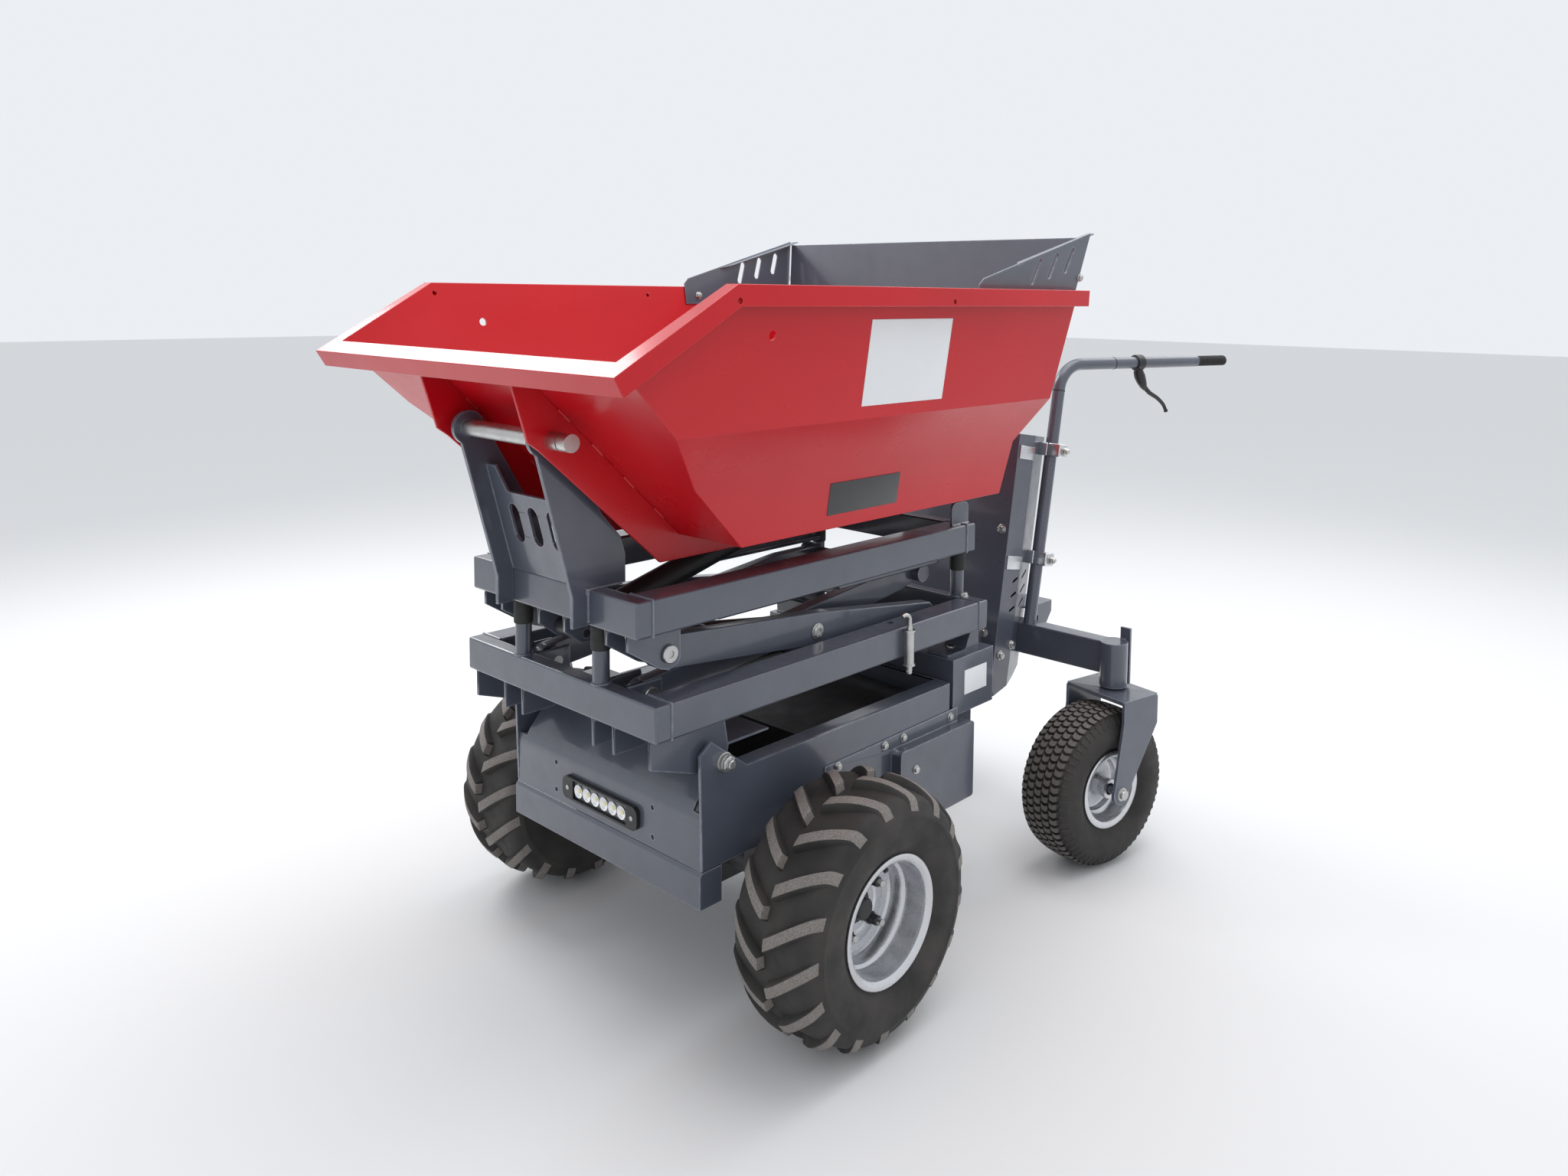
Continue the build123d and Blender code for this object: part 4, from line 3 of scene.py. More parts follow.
import json
from math import atan2, cos, hypot, pi, radians, sin

import bmesh
import bpy
import numpy as np
from mathutils import Matrix, Vector


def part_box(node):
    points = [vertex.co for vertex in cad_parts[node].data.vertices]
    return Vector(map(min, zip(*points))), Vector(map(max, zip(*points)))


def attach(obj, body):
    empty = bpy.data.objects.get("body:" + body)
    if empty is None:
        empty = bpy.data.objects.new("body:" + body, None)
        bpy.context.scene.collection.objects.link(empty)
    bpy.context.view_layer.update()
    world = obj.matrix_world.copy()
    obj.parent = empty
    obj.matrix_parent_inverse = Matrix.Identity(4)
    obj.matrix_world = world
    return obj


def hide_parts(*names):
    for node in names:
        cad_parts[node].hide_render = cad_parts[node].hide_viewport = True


bl_info = {
    "name": "Site Dumper Looks",
    "version": (1, 0, 0),
    "blender": (4, 5, 0),
    "location": "View3D > Sidebar > Dumper",
    "description": "Paint, tyres, fastenings and fittings of a tipping site dumper",
    "category": "Add Mesh",
}

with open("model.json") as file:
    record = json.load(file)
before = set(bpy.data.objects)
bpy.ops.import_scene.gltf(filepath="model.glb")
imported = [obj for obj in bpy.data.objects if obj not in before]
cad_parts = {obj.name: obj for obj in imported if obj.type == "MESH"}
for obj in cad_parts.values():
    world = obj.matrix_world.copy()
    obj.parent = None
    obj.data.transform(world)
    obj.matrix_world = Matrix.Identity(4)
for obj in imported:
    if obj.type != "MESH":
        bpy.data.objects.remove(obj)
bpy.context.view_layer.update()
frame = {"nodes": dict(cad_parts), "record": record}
RECORD = frame["record"]
BODY_OF = {node: body for body, nodes in RECORD["behaviour"]["bodies"].items() for node in nodes}
SLOT_OF = {part["node"]: part["material_slot"] for part in RECORD["subparts"]}

# Places are in millimetres, with X counted ahead of the front axle, Y left and Z up from the ground.
# Tables hold the left side, and its mirror image stands on the right.
MM = 1000.0
AXLE_X = 0.53735  # the front axle in the frame, in metres
SIDES = (("left", 1), ("right", -1))
LEFT, AHEAD, UP = (0, 1, 0), (1, 0, 0), (0, 0, 1)

FRONT_WHEEL = (0.0, 431.0, 232.7)
CASTER_STEM = (-920.0, 430.0, 182.0)  # the stem's axis, at the caster wheel's height
CASTER_TRAIL = 64.0
CASTER_YAW = 12.0

# The rails of the lower frame and of the upper frame: (half width, bottom, top)
RAILS = {"chassis": (287.6, 576.4, 638.9), "upper_frame": (250.5, 743.7, 806.2)}
POSTS = ((311.0, 119.0), (-587.0, 214.0))  # the posts that the upper frame rests on
TOWER_WALL = 119.0
GUARD_LEAN = 0.1549  # a side guard leans out by this much for each mm up
COLUMN_LEAN = 88.5 / 507.5  # the control column leans back by this much for each mm up
BAR_FOOT, BAR_BEND, BAR_END = (-922.0, 192.0, 490.0), (-1047.0, 192.0, 1140.0), (-1599.0, 369.5, 1140.0)
CLAMPS = ((-954.7, 660.0), (-1006.0, 927.0))  # (x, z) of the bar clamps, from the lower one up
SMALL_BOLT = (9.0, 1.6, 6.3, 4.6)  # (washer, its height, flat, head's height)

# Front tyre's carcass, from bead to middle: (outwards from its middle, radius)
CARCASS = [
    (84, 101.7), (84.6, 107), (85, 115), (86.5, 119.5), (91, 126), (95, 136), (97.2, 148), (97.6, 160),
    (96.6, 172), (97, 176.5), (97.9, 179.5), (97.4, 183), (94.8, 186.5), (92, 193), (88.5, 201), (83, 207),
    (74, 211), (60, 214), (40, 215.6), (20, 216.2), (0, 216.4),
]
# Front tyre's lug from its middle end to its shoulder end: (outwards, top radius)
LUG_TOP = [
    (3, 212), (6, 231.4), (8, 232.5), (18, 232.6), (30, 232.3), (45, 229.6), (58, 225.6), (70, 220.4),
    (79, 215.6), (84, 212), (88.5, 205.5), (93.5, 190), (95.5, 178),
]
# The carcass that the lugs stand on: (outwards, radius)
LUG_FOOT = [(0, 214), (60, 211), (84, 203), (92, 190), (96, 176)]
# Caster tyre's carcass, from bead to middle: (outwards from its middle, radius)
CASTER_CARCASS = [
    (55.8, 76.3), (55.8, 92.4), (57.5, 95.5), (61, 99.5), (66, 105.5), (71, 114), (73.6, 124), (73, 134),
    (71.5, 142), (69.5, 150), (66, 158), (61, 165.5), (54, 170.5), (44, 174), (30, 176.2), (15, 176.9),
    (0, 177),
]
# Rims, as (outwards from the wheel's middle, radius): the outer flange and the barrel inwards of it, the well
# under the tyre, and the front rim's disc. A rim's flanges and its well are the same on both sides.
RIM_FLANGE = [
    (85.2, 102), (85.2, 113.5), (86.5, 115), (89, 115), (90, 113.5), (89.6, 108), (87.5, 103.5), (84, 100.2),
    (76, 98.8), (46, 97.2), (41, 95.5), (38, 89.5),
]
RIM_DISC = [
    (33, 87), (14, 85.5), (9.5, 82), (8.5, 77), (7.5, 70), (9.5, 66), (9.5, 50), (7, 46), (7, 20), (0, 20),
    (0, 78), (-3, 83), (-14, 85.5), (-33, 85.5),
]
RIM_WELL = [(33, 90.5), (38, 93), (41, 99), (46, 100.3), (76, 101.4)]
# The caster rim's flange runs on round its disc to its hub's bore.
CASTER_RIM_FLANGE = [
    (56, 76.8), (56, 88), (57.4, 89.4), (59.4, 89.4), (60, 88), (59.6, 80), (57.6, 75.4), (52, 72.8),
    (24, 70.8), (20, 68), (17, 63.2), (10, 61.4), (6, 58.6), (4, 54), (4, 30), (5.5, 24.5), (8.5, 22.2),
    (30, 22), (55, 22), (55, 14),
]
CASTER_RIM_WELL = [(30, 75.6)]


class DumperSizes(bpy.types.PropertyGroup):
    """Sizes that change the look of the pieces"""

    lug_count: bpy.props.IntProperty(
        name="Lugs a side", description="Lugs round one side of a front tyre", default=17
    )
    lug_sweep: bpy.props.FloatProperty(
        name="Lug sweep", description="Turn from a lug's middle end to its shoulder end",
        default=radians(16.5), subtype="ANGLE",
    )
    block_rows: bpy.props.IntProperty(
        name="Block rows", description="Rows of tread blocks round a caster", default=60
    )
    weld_radius: bpy.props.FloatProperty(
        name="Weld bead", description="Radius of a weld bead", default=0.0026,
        subtype="DISTANCE", unit="LENGTH",
    )
    frame_edge: bpy.props.FloatProperty(
        name="Tube corner", description="Corner radius of the frames' tubes", default=0.0045,
        subtype="DISTANCE", unit="LENGTH",
    )
    sheet_edge: bpy.props.FloatProperty(
        name="Sheet edge", description="Rounding of sheet and plate edges", default=0.0010,
        subtype="DISTANCE", unit="LENGTH",
    )


class DumperColours(bpy.types.PropertyGroup):
    """Colours that a user would change"""

    red: bpy.props.FloatVectorProperty(
        name="Skip red", description="Gloss paint of the skip", default=(0.56, 0.0035, 0.010),
        subtype="COLOR", min=0, max=1,
    )
    grey: bpy.props.FloatVectorProperty(
        name="Frame grey", description="Powder coat of the frames", default=(0.076, 0.087, 0.115),
        subtype="COLOR", min=0, max=1,
    )
    worn_rubber: bpy.props.FloatVectorProperty(
        name="Worn rubber", description="Scuffed tops of the lugs", default=(0.27, 0.245, 0.225),
        subtype="COLOR", min=0, max=1,
    )


# ---------------------------------------------------------------- finishes

# The lighter line along edges is partly wear and partly a painted highlight.
EDGE_TURN = (0.80, 0.985)  # cosines of the normal's turn where an edge's lighter line is full, and gone
EDGE_PATCH_SCALE = 55.0
SPECKLE_SCALE = 420.0
WORN_FROM, WORN_FULL = 0.80, 0.97
GRAIN_DEPTH = 0.0006
COAT_ROUGHNESS = 0.12


def feed(tree, node, inputs):
    """Links each input of a node, by name or number, to another node's socket, or gives it a value."""
    for key, value in inputs.items():
        socket = node.inputs[key]
        if isinstance(value, bpy.types.NodeSocket):
            tree.links.new(value, socket)
        else:
            socket.default_value = (*value, 1.0) if socket.type == "RGBA" else value


def add_node(tree, kind, inputs, **settings):
    """A shader node with its settings and its inputs."""
    made = tree.nodes.new(kind)
    for key, value in settings.items():
        setattr(made, key, value)
    feed(tree, made, inputs)
    return made


def spread(tree, value, start, end, low=0.0, high=1.0):
    """A value's range from start to end carried in proportion to low to high, and held there beyond it."""
    inputs = {"Value": value, "From Min": start, "From Max": end, "To Min": low, "To Max": high}
    return add_node(tree, "ShaderNodeMapRange", inputs).outputs["Result"]


def noise_between(tree, place, scale, low, high, detail=4.0):
    """A noise of that scale, its middle range (0.3 to 0.7) spread from low to high."""
    inputs = {"Vector": place, "Scale": scale, "Detail": detail, "Roughness": 0.55}
    return spread(tree, add_node(tree, "ShaderNodeTexNoise", inputs).outputs["Fac"], 0.3, 0.7, low, high)


def mixed(tree, amount, first, second):
    """Two colours mixed by an amount. A Mix node's colour sockets are its inputs 6 and 7 and its output 2."""
    return add_node(tree, "ShaderNodeMix", {0: amount, 6: first, 7: second}, data_type="RGBA").outputs[2]


def edge_wear_and_highlight(tree, radius, amount):
    """The amount along outer edges, where a lighter line stands partly for wear and partly for a painted
    highlight: where the normal, rounded over a radius, turns from the face's own.
    """
    rounded = add_node(tree, "ShaderNodeBevel", {"Radius": radius}, samples=4).outputs["Normal"]
    flat = add_node(tree, "ShaderNodeNewGeometry", {}).outputs["Normal"]
    dot = add_node(tree, "ShaderNodeVectorMath", {0: rounded, 1: flat}, operation="DOT_PRODUCT")
    mask = spread(tree, dot.outputs["Value"], *EDGE_TURN, 1.0, 0.0)
    return add_node(tree, "ShaderNodeMath", {0: mask, 1: amount}, operation="MULTIPLY").outputs["Value"]


def make_finish(
    name, colour, patch, roughness, uneven=0.08, metallic=0.0, patch_scale=7.0, grain=700.0, bump=0.08,
    edge=None, edge_amount=0.6, edge_reach=0.0025, coat=0.0, specular=0.5, stretch=None, worn=None,
):
    """A finish: two colours in soft patches, uneven roughness, a fine grain in relief and lighter edges,
    which are partly wear and partly a painted highlight.
    """
    material = bpy.data.materials.new(f"{name}_finish")
    material.use_nodes = True
    tree = material.node_tree
    place = add_node(tree, "ShaderNodeTexCoord", {}).outputs["Object"]
    if stretch:
        place = add_node(tree, "ShaderNodeMapping", {"Vector": place, "Scale": stretch}).outputs["Vector"]
    colours = mixed(tree, noise_between(tree, place, patch_scale, 0.0, 1.0), colour, patch)
    # lighter edges: partly wear, partly a painted highlight along the edges
    if edge:
        patches = noise_between(tree, place, EDGE_PATCH_SCALE, 0.25 * edge_amount, edge_amount)
        colours = mixed(tree, edge_wear_and_highlight(tree, edge_reach, patches), colours, edge)
    if worn:
        tops = add_node(tree, "ShaderNodeAttribute", {}, attribute_name="worn").outputs["Fac"]
        speckles = noise_between(tree, place, SPECKLE_SCALE, 0.0, 1.0, detail=6.0)
        speckled = mixed(tree, speckles, worn, tuple(0.45 * v for v in worn))
        colours = mixed(tree, spread(tree, tops, WORN_FROM, WORN_FULL), colours, speckled)
    relief = add_node(tree, "ShaderNodeTexNoise", {"Vector": place, "Scale": grain, "Detail": 3.0})
    raised = add_node(tree, "ShaderNodeBump", {
        "Strength": bump, "Distance": GRAIN_DEPTH, "Height": relief.outputs["Fac"],
    })
    rough = noise_between(tree, place, patch_scale * 4, roughness - uneven, roughness + uneven)
    feed(tree, tree.nodes["Principled BSDF"], {
        "Base Color": colours, "Roughness": rough, "Normal": raised.outputs["Normal"], "Metallic": metallic,
        "Specular IOR Level": specular, "Coat Weight": coat, "Coat Roughness": COAT_ROUGHNESS,
    })
    return material


def make_finishes(colours):
    """All the finishes by the name of their record slot, and those of the small fittings."""
    red, grey, worn_rubber = tuple(colours.red), tuple(colours.grey), tuple(colours.worn_rubber)
    deep_red = tuple(0.90 * v for v in red)
    deep_grey = tuple(0.82 * v for v in grey)
    # a much lighter grey for the frames' edges: a painted highlight along the rounded tube corners, with some
    # wear
    grey_wear_and_highlight = tuple(min(1.0, 2.6 * v + 0.10) for v in grey)
    table = {
        # name: (colour, patch, roughness, further settings)
        # the pink edge line of the red paint is partly wear and partly a painted highlight
        "red_paint": (red, deep_red, 0.30, dict(
            uneven=0.04, coat=0.20, specular=0.35, bump=0.012, grain=90.0, patch_scale=3.0,
            edge=(0.78, 0.16, 0.16), edge_amount=0.55)),
        # the wide, strong edge line of the grey paint is a painted highlight along the tube corners, with
        # some wear
        "grey_paint": (grey, deep_grey, 0.36, dict(
            coat=0.8, bump=0.12, edge=grey_wear_and_highlight, edge_amount=0.95, edge_reach=0.0055)),
        "column_paint": (grey, deep_grey, 0.34, dict(coat=0.6, bump=0.10, edge=grey_wear_and_highlight)),
        "black_paint": ((0.018, 0.019, 0.021), (0.026, 0.027, 0.030), 0.42, dict(
            bump=0.10, edge=(0.07, 0.07, 0.075))),
        "zinc": ((0.60, 0.60, 0.58), (0.50, 0.50, 0.49), 0.36, dict(
            metallic=1.0, patch_scale=30.0, edge=(0.8, 0.8, 0.8))),
        "rod_chrome": ((0.78, 0.79, 0.80), (0.70, 0.71, 0.73), 0.13, dict(
            metallic=1.0, uneven=0.03, bump=0.01)),
        "bar_steel": (grey, deep_grey, 0.34, dict(bump=0.08, coat=0.7)),
        "rim_silver": ((0.66, 0.67, 0.69), (0.60, 0.61, 0.63), 0.27, dict(
            metallic=0.9, uneven=0.03, patch_scale=12.0, bump=0.02,
            edge=(0.85, 0.85, 0.87), edge_amount=0.3)),
        "tyre": ((0.014, 0.0135, 0.013), (0.045, 0.040, 0.036), 0.72, dict(
            uneven=0.12, patch_scale=14.0, grain=1300.0, bump=0.35, worn=worn_rubber)),
        "black_rubber": ((0.012, 0.012, 0.012), (0.022, 0.021, 0.020), 0.66, dict(
            patch_scale=25.0, bump=0.2)),
        "black_plastic": ((0.011, 0.011, 0.012), (0.019, 0.019, 0.020), 0.38, dict(
            bump=0.15, edge=(0.05, 0.05, 0.05))),
        "lens": ((0.10, 0.105, 0.11), (0.07, 0.075, 0.08), 0.10, dict(coat=1.0, bump=0.01, uneven=0.02)),
        "clamp_steel": ((0.70, 0.71, 0.73), (0.60, 0.61, 0.63), 0.27, dict(
            metallic=1.0, patch_scale=9.0, stretch=(6.0, 6.0, 60.0), grain=30.0, bump=0.10,
            edge=(0.9, 0.9, 0.9))),
        "battery_case": ((0.02, 0.02, 0.022), (0.03, 0.03, 0.032), 0.5, {}),
        "unit_case": ((0.05, 0.05, 0.055), (0.07, 0.07, 0.075), 0.5, {}),
        "plate_white": ((0.80, 0.81, 0.82), (0.77, 0.78, 0.79), 0.38, dict(
            patch_scale=9.0, coat=0.3, bump=0.03)),
        "plate_dark": ((0.024, 0.024, 0.027), (0.034, 0.034, 0.037), 0.36, dict(patch_scale=20.0, coat=0.3)),
        "lamp_mirror": ((0.80, 0.81, 0.83), (0.72, 0.73, 0.75), 0.12, dict(metallic=1.0, uneven=0.03)),
        "lamp_chip": ((0.85, 0.78, 0.42), (0.80, 0.72, 0.36), 0.20, dict(coat=1.0)),
    }
    return {name: make_finish(name, *first, **further) for name, (*first, further) in table.items()}


# ---------------------------------------------------------------- shapes


def ring_faces(rings, steps, closed=False):
    """Quads between neighbouring rings of points, all round them, and from last to first if closed."""
    ring, step = np.meshgrid(np.arange(rings if closed else rings - 1), np.arange(steps), indexing="ij")
    next_ring, next_step = (ring + 1) % rings, (step + 1) % steps
    corners = [(ring, step), (ring, next_step), (next_ring, next_step), (next_ring, step)]
    return np.stack([r * steps + s for r, s in corners], axis=-1).reshape(-1, 4)


def repeated(faces, count, size):
    """The faces of count copies of a shape of that many points, counted on from copy to copy."""
    return (faces[None] + (np.arange(count) * size)[:, None, None]).reshape(-1, 4)


def joined(shapes):
    """Several shapes as one: the points in a row, and each shape's faces counted on from those before it."""
    starts = np.cumsum([0] + [len(points) for points, _ in shapes])
    return (
        np.concatenate([points for points, _ in shapes]),
        np.concatenate([faces + start for (_, faces), start in zip(shapes, starts)]),
    )


def mirrored(*shapes):
    """The shapes as one, with its mirror image on the other side."""
    points, faces = joined(shapes)
    return joined([(points, faces), (points * (1.0, -1.0, 1.0), faces)])


def axes_along(directions, up=UP):
    """Three axes for each direction: the third points along it, and the first lies square to it and to up."""
    third = np.asarray(directions, float).reshape(-1, 3)
    third = third / np.linalg.norm(third, axis=1, keepdims=True)
    ups = np.broadcast_to(np.asarray(up, float), third.shape)
    ups = np.where(np.abs((third * ups).sum(axis=1, keepdims=True)) > 0.99, (1.0, 0.0, 0.0), ups)
    first = np.cross(ups, third)
    first = first / np.linalg.norm(first, axis=1, keepdims=True)
    return np.stack([first, np.cross(third, first), third], axis=1)


def copies(shape, centres, axes=np.eye(3)[None]):
    """The shape once at each centre: a point is the sum of the place's three axes by its own coordinates."""
    points, faces = shape
    centres = np.asarray(centres, float).reshape(-1, 3)
    turned_points = np.einsum("pi,kij->kpj", points, axes) + centres[:, None, :]
    return turned_points.reshape(-1, 3), repeated(faces, len(centres), len(points))


def placed(shape, centres, directions):
    """The shape once at each centre, its third axis along the one direction or along each centre's own."""
    return copies(shape, centres, axes_along(directions))


def turned(rings, sides=36, closed=False):
    """A turned shape: each ring's (along, radius) carried round the third axis.

    A ring's third number, if it has one, is its share of a hexagon, whose radius is its flat's over the
    cosine of the turn from the flat's middle.
    """
    along, radius, share = np.array([(*ring, 0.0)[:3] for ring in rings], float).T
    turn = np.linspace(0.0, 2 * pi, sides, endpoint=False)
    hexagon = 1.0 / np.cos((turn + pi / 6) % (pi / 3) - pi / 6)
    reach = radius[:, None] * (1.0 + share[:, None] * (hexagon - 1.0))
    heights = np.repeat(along[:, None], sides, axis=1)
    points = np.stack([reach * np.cos(turn), reach * np.sin(turn), heights], axis=-1)
    return points.reshape(-1, 3), ring_faces(len(along), sides, closed)


def other_half(half):
    """The mirror image of part of a wheel's section, run through the other way."""
    return [(-out, radius) for out, radius in half[::-1]]


def bolt_head(washer, washer_height, flat, height):
    """A hexagon head on its washer, with its top edge turned off."""
    top = washer_height + height
    return turned([
        (0, 0), (0, washer), (washer_height * 0.8, washer), (washer_height, washer * 0.96),
        (washer_height, flat, 1), (top - 0.12 * height, flat, 1), (top, flat * 0.95), (top - 0.02, 0),
    ])


def domed_nut(washer, washer_height, flat, height, dome):
    """A hexagon nut on its washer, closed by a dome of quarter-circle section."""
    top = washer_height + height
    rise = np.linspace(0.0, pi / 2, 6)
    return turned([
        (0, 0), (0, washer), (washer_height, washer), (washer_height, flat, 1), (top - 0.8, flat, 1),
        (top, flat * 0.94), *((top + dome * sin(a), flat * 0.86 * cos(a)) for a in rise),
    ])


def closed_rings(first_pole, rings, last_pole):
    """Rings of points, one after another along a shape, closed by a pole at both ends."""
    steps = rings.shape[1]
    poles = [np.broadcast_to(np.asarray(pole, float), (1, steps, 3)) for pole in (first_pole, last_pole)]
    points = np.concatenate([poles[0], rings, poles[1]])
    return points.reshape(-1, 3), ring_faces(len(points), steps)


def tube(path, radius, sides=10, up=UP):
    """A round bar: a circle square to the path at each of its points, drawn in to a point at both ends."""
    path = np.asarray(path, float)
    radius = np.broadcast_to(np.asarray(radius, float), (len(path),))
    axes = axes_along(np.gradient(path, axis=0), up)
    turn = np.linspace(0.0, 2 * pi, sides, endpoint=False)
    circle = np.stack([np.cos(turn), np.sin(turn)], axis=-1)
    rings = path[:, None, :] + radius[:, None, None] * np.einsum("si,kij->ksj", circle, axes[:, :2])
    return closed_rings(path[0], rings, path[-1])


def curve_through(points, steps):
    """A Catmull-Rom spline through the points, whose tangent at a point runs between its neighbours."""
    points = np.asarray(points, float)
    padded = np.concatenate([2 * points[:1] - points[1:2], points, 2 * points[-1:] - points[-2:-1]])
    t = np.linspace(0.0, 1.0, steps, endpoint=False)[None, :, None]
    a, b, c, d = (padded[i : len(padded) - 3 + i, None, :] for i in range(4))
    spans = 0.5 * (2 * b + (c - a) * t + (2 * a - 5 * b + 4 * c - d) * t**2 + (3 * b - a - 3 * c + d) * t**3)
    return np.concatenate([spans.reshape(-1, 3), points[-1:]])


def bead(path, radius, ripple=4.5):
    """A weld bead: a round bar along the path, half sunk in the corner, its radius swelling once a ripple."""
    path = np.asarray(path, float)
    run = np.concatenate([[0.0], np.cumsum(np.linalg.norm(np.diff(path, axis=0), axis=1))])
    along = np.linspace(0.0, run[-1], max(4, int(run[-1] / ripple * 3)))
    places = np.stack([np.interp(along, run, axis) for axis in path.T], axis=-1)
    swell = radius * (0.80 + 0.20 * np.abs(np.sin(pi * along / ripple)))
    return tube(places, swell, sides=7, up=(0.3, 0.5, 0.8))


def ring_path(centre, radius, steps=24):
    """A level circle, closed on its first point."""
    turn = np.linspace(0.0, 2 * pi, steps + 1)[:, None]
    first, second, _ = axes_along(UP)[0]
    return np.asarray(centre, float) + radius * (np.cos(turn) * first + np.sin(turn) * second)


def rounded_block(half, radius, steps=4):
    """A block with round edges: a corner drawn in by the radius, plus the radius outwards from it."""
    half = np.asarray(half, float)
    turn = np.concatenate([np.linspace(q * pi / 2, (q + 1) * pi / 2, steps) for q in range(4)])
    rise = np.concatenate([np.linspace(-pi / 2, 0.0, steps), np.linspace(0.0, pi / 2, steps)])[:, None]
    outwards = np.stack(np.broadcast_arrays(
        np.cos(rise) * np.cos(turn), np.cos(rise) * np.sin(turn), np.sin(rise)
    ), axis=-1)
    corner = np.stack(np.broadcast_arrays(
        np.repeat([1, -1, -1, 1], steps), np.repeat([1, 1, -1, -1], steps), np.repeat([-1, 1], steps)[:, None]
    ), axis=-1)
    pole = np.array([0.0, 0.0, half[2]])
    return closed_rings(-pole, corner * (half - radius) + radius * outwards, pole)


def lugs(count, first, sweep, side):
    """Tread bars on one side of a front tyre, and how worn each point is.

    A bar's middle line turns by the sweep from its inner end to its outer end, and at each place outwards its
    section is a trapezium with round top edges, from the carcass up to the top radius given there.
    """
    top_half, foot_half, sunk = 12.3, 16.5, 2.5
    outwards, top = np.array(LUG_TOP).T
    share = (outwards - outwards[0]) / (outwards[-1] - outwards[0])
    starts = first + np.arange(count) * 2 * pi / count
    # half a section: (share of the half width at the top, share at the foot, share of the height)
    section = np.array([
        (0, 1, -0.15), (0.45, 0.55, 0.45), (0.86, 0.14, 0.86), (0.93, 0, 0.96), (0.84, 0, 1), (0, 0, 1),
    ])
    across, foot_across, up = np.concatenate([section * (-1, -1, 1), section[::-1][1:]]).T
    foot = np.interp(outwards, *np.array(LUG_FOOT, float).T) - sunk
    height = np.maximum(top - foot, 0.0)
    radius = foot[None, :, None] + height[None, :, None] * up
    turn = (across * top_half + foot_across * foot_half) / radius
    angle = starts[:, None, None] + sweep * share[None, :, None] ** 1.1 + turn
    out = np.broadcast_to(side * outwards[:, None], angle.shape)
    points = np.stack([radius * np.cos(angle), out, radius * np.sin(angle)], axis=-1).reshape(-1, 3)
    faces = repeated(ring_faces(len(outwards), len(up)), count, len(points) // count)
    worn = np.broadcast_to(np.where(up > 0.97, 1.0, 0.0), angle.shape)
    return (points, faces), worn.reshape(-1)


def tread_blocks(outline, levels, places, starts, crown, reach, hand=1.0):
    """Tread blocks of a caster, and how worn each point is.

    A block is an outline (outwards, along) at levels (share of the outline, height over the carcass). A point
    lies outwards by its block's place plus its share of the outline. Its radius is the crown's there plus its
    level's height, and its turn is its block's start plus its way along over the reach.
    """
    outline, levels = np.array(outline), np.array(levels)
    out = places[..., None, None] + levels[:, :1] * outline[:, 0]
    radius = np.interp(np.abs(out), *crown) + levels[:, 1:]
    angle = starts[..., None, None] + (levels[:, :1] * outline[:, 1]) / reach
    points = np.stack([radius * np.cos(angle), radius * np.sin(angle), hand * out], axis=-1).reshape(-1, 3)
    size = len(levels) * len(outline)
    faces = repeated(ring_faces(len(levels), len(outline)), len(points) // size, size)
    worn = np.broadcast_to(np.where(levels[:, 1:] > 4.5, 0.9, 0.0), radius.shape).reshape(-1)
    return (points, faces), worn


def front_place(side):
    """A front wheel's centre and its outward axis."""
    return np.array(FRONT_WHEEL) * (1, side, 1), np.array([0.0, side, 0.0])


def caster_place(side):
    """A parked caster's wheel centre and its outward axis."""
    yaw = radians(CASTER_YAW)
    ahead_of_stem = np.array([cos(yaw), -side * sin(yaw), 0.0])
    outwards = np.array([sin(yaw), side * cos(yaw), 0.0])
    return np.array(CASTER_STEM) * (1, side, 1) + CASTER_TRAIL * ahead_of_stem, outwards


def guard_y(height):
    """Outer face of a side guard at a height."""
    return 435.6 + (height - 1325.4) * GUARD_LEAN


def column_x(height):
    """Front face of the control column at a height."""
    return -794.0 - (height - 469.5) * COLUMN_LEAN


def node_range(node, axis):
    """A CAD node's lowest and highest place along an axis: 0 ahead of the front axle, 1 left or 2 up."""
    return [corner[axis] * MM - (AXLE_X * MM if axis == 0 else 0.0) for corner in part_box(node)]


# ---------------------------------------------------------------- pieces


def add_piece(name, mesh, body, finish, sharp, node):
    """An object for a mesh, sharp at edges over that angle, that rides on a body and may stand for a node."""
    mesh.shade_smooth()
    mesh.set_sharp_from_angle(angle=radians(sharp))
    mesh.materials.clear()
    mesh.materials.append(bpy.data.materials[f"{finish}_finish"])
    piece = bpy.data.objects.new(name, mesh)
    bpy.context.scene.collection.objects.link(piece)
    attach(piece, body)
    if node:
        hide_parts(node)
    return piece


def make_piece(name, shape, body, slot, finish=None, node=None, worn=None, sharp=38.0):
    """One mesh piece from a shape's points and quads, its doubles merged and its faces turned outwards."""
    points, faces = shape
    mesh = bpy.data.meshes.new(name)
    mesh.from_pydata((points / MM + (AXLE_X, 0.0, 0.0)).tolist(), [], faces.tolist())
    if worn is not None:
        mesh.attributes.new("worn", "FLOAT", "POINT").data.foreach_set("value", worn)
    shell = bmesh.new()
    shell.from_mesh(mesh)
    bmesh.ops.remove_doubles(shell, verts=shell.verts, dist=2e-6)
    bmesh.ops.dissolve_degenerate(shell, edges=shell.edges, dist=1e-6)
    bmesh.ops.recalc_face_normals(shell, faces=shell.faces)
    shell.to_mesh(mesh)
    shell.free()
    return add_piece(name, mesh, body, finish or slot, sharp, node)


def is_wide(face, edge, width):
    """Whether a face reaches further from an edge than two and a half bevel widths."""
    start = edge.verts[0].co
    along = (edge.verts[1].co - start).normalized()
    return any(((v.co - start) - along * (v.co - start).dot(along)).length > 2.5 * width for v in face.verts)


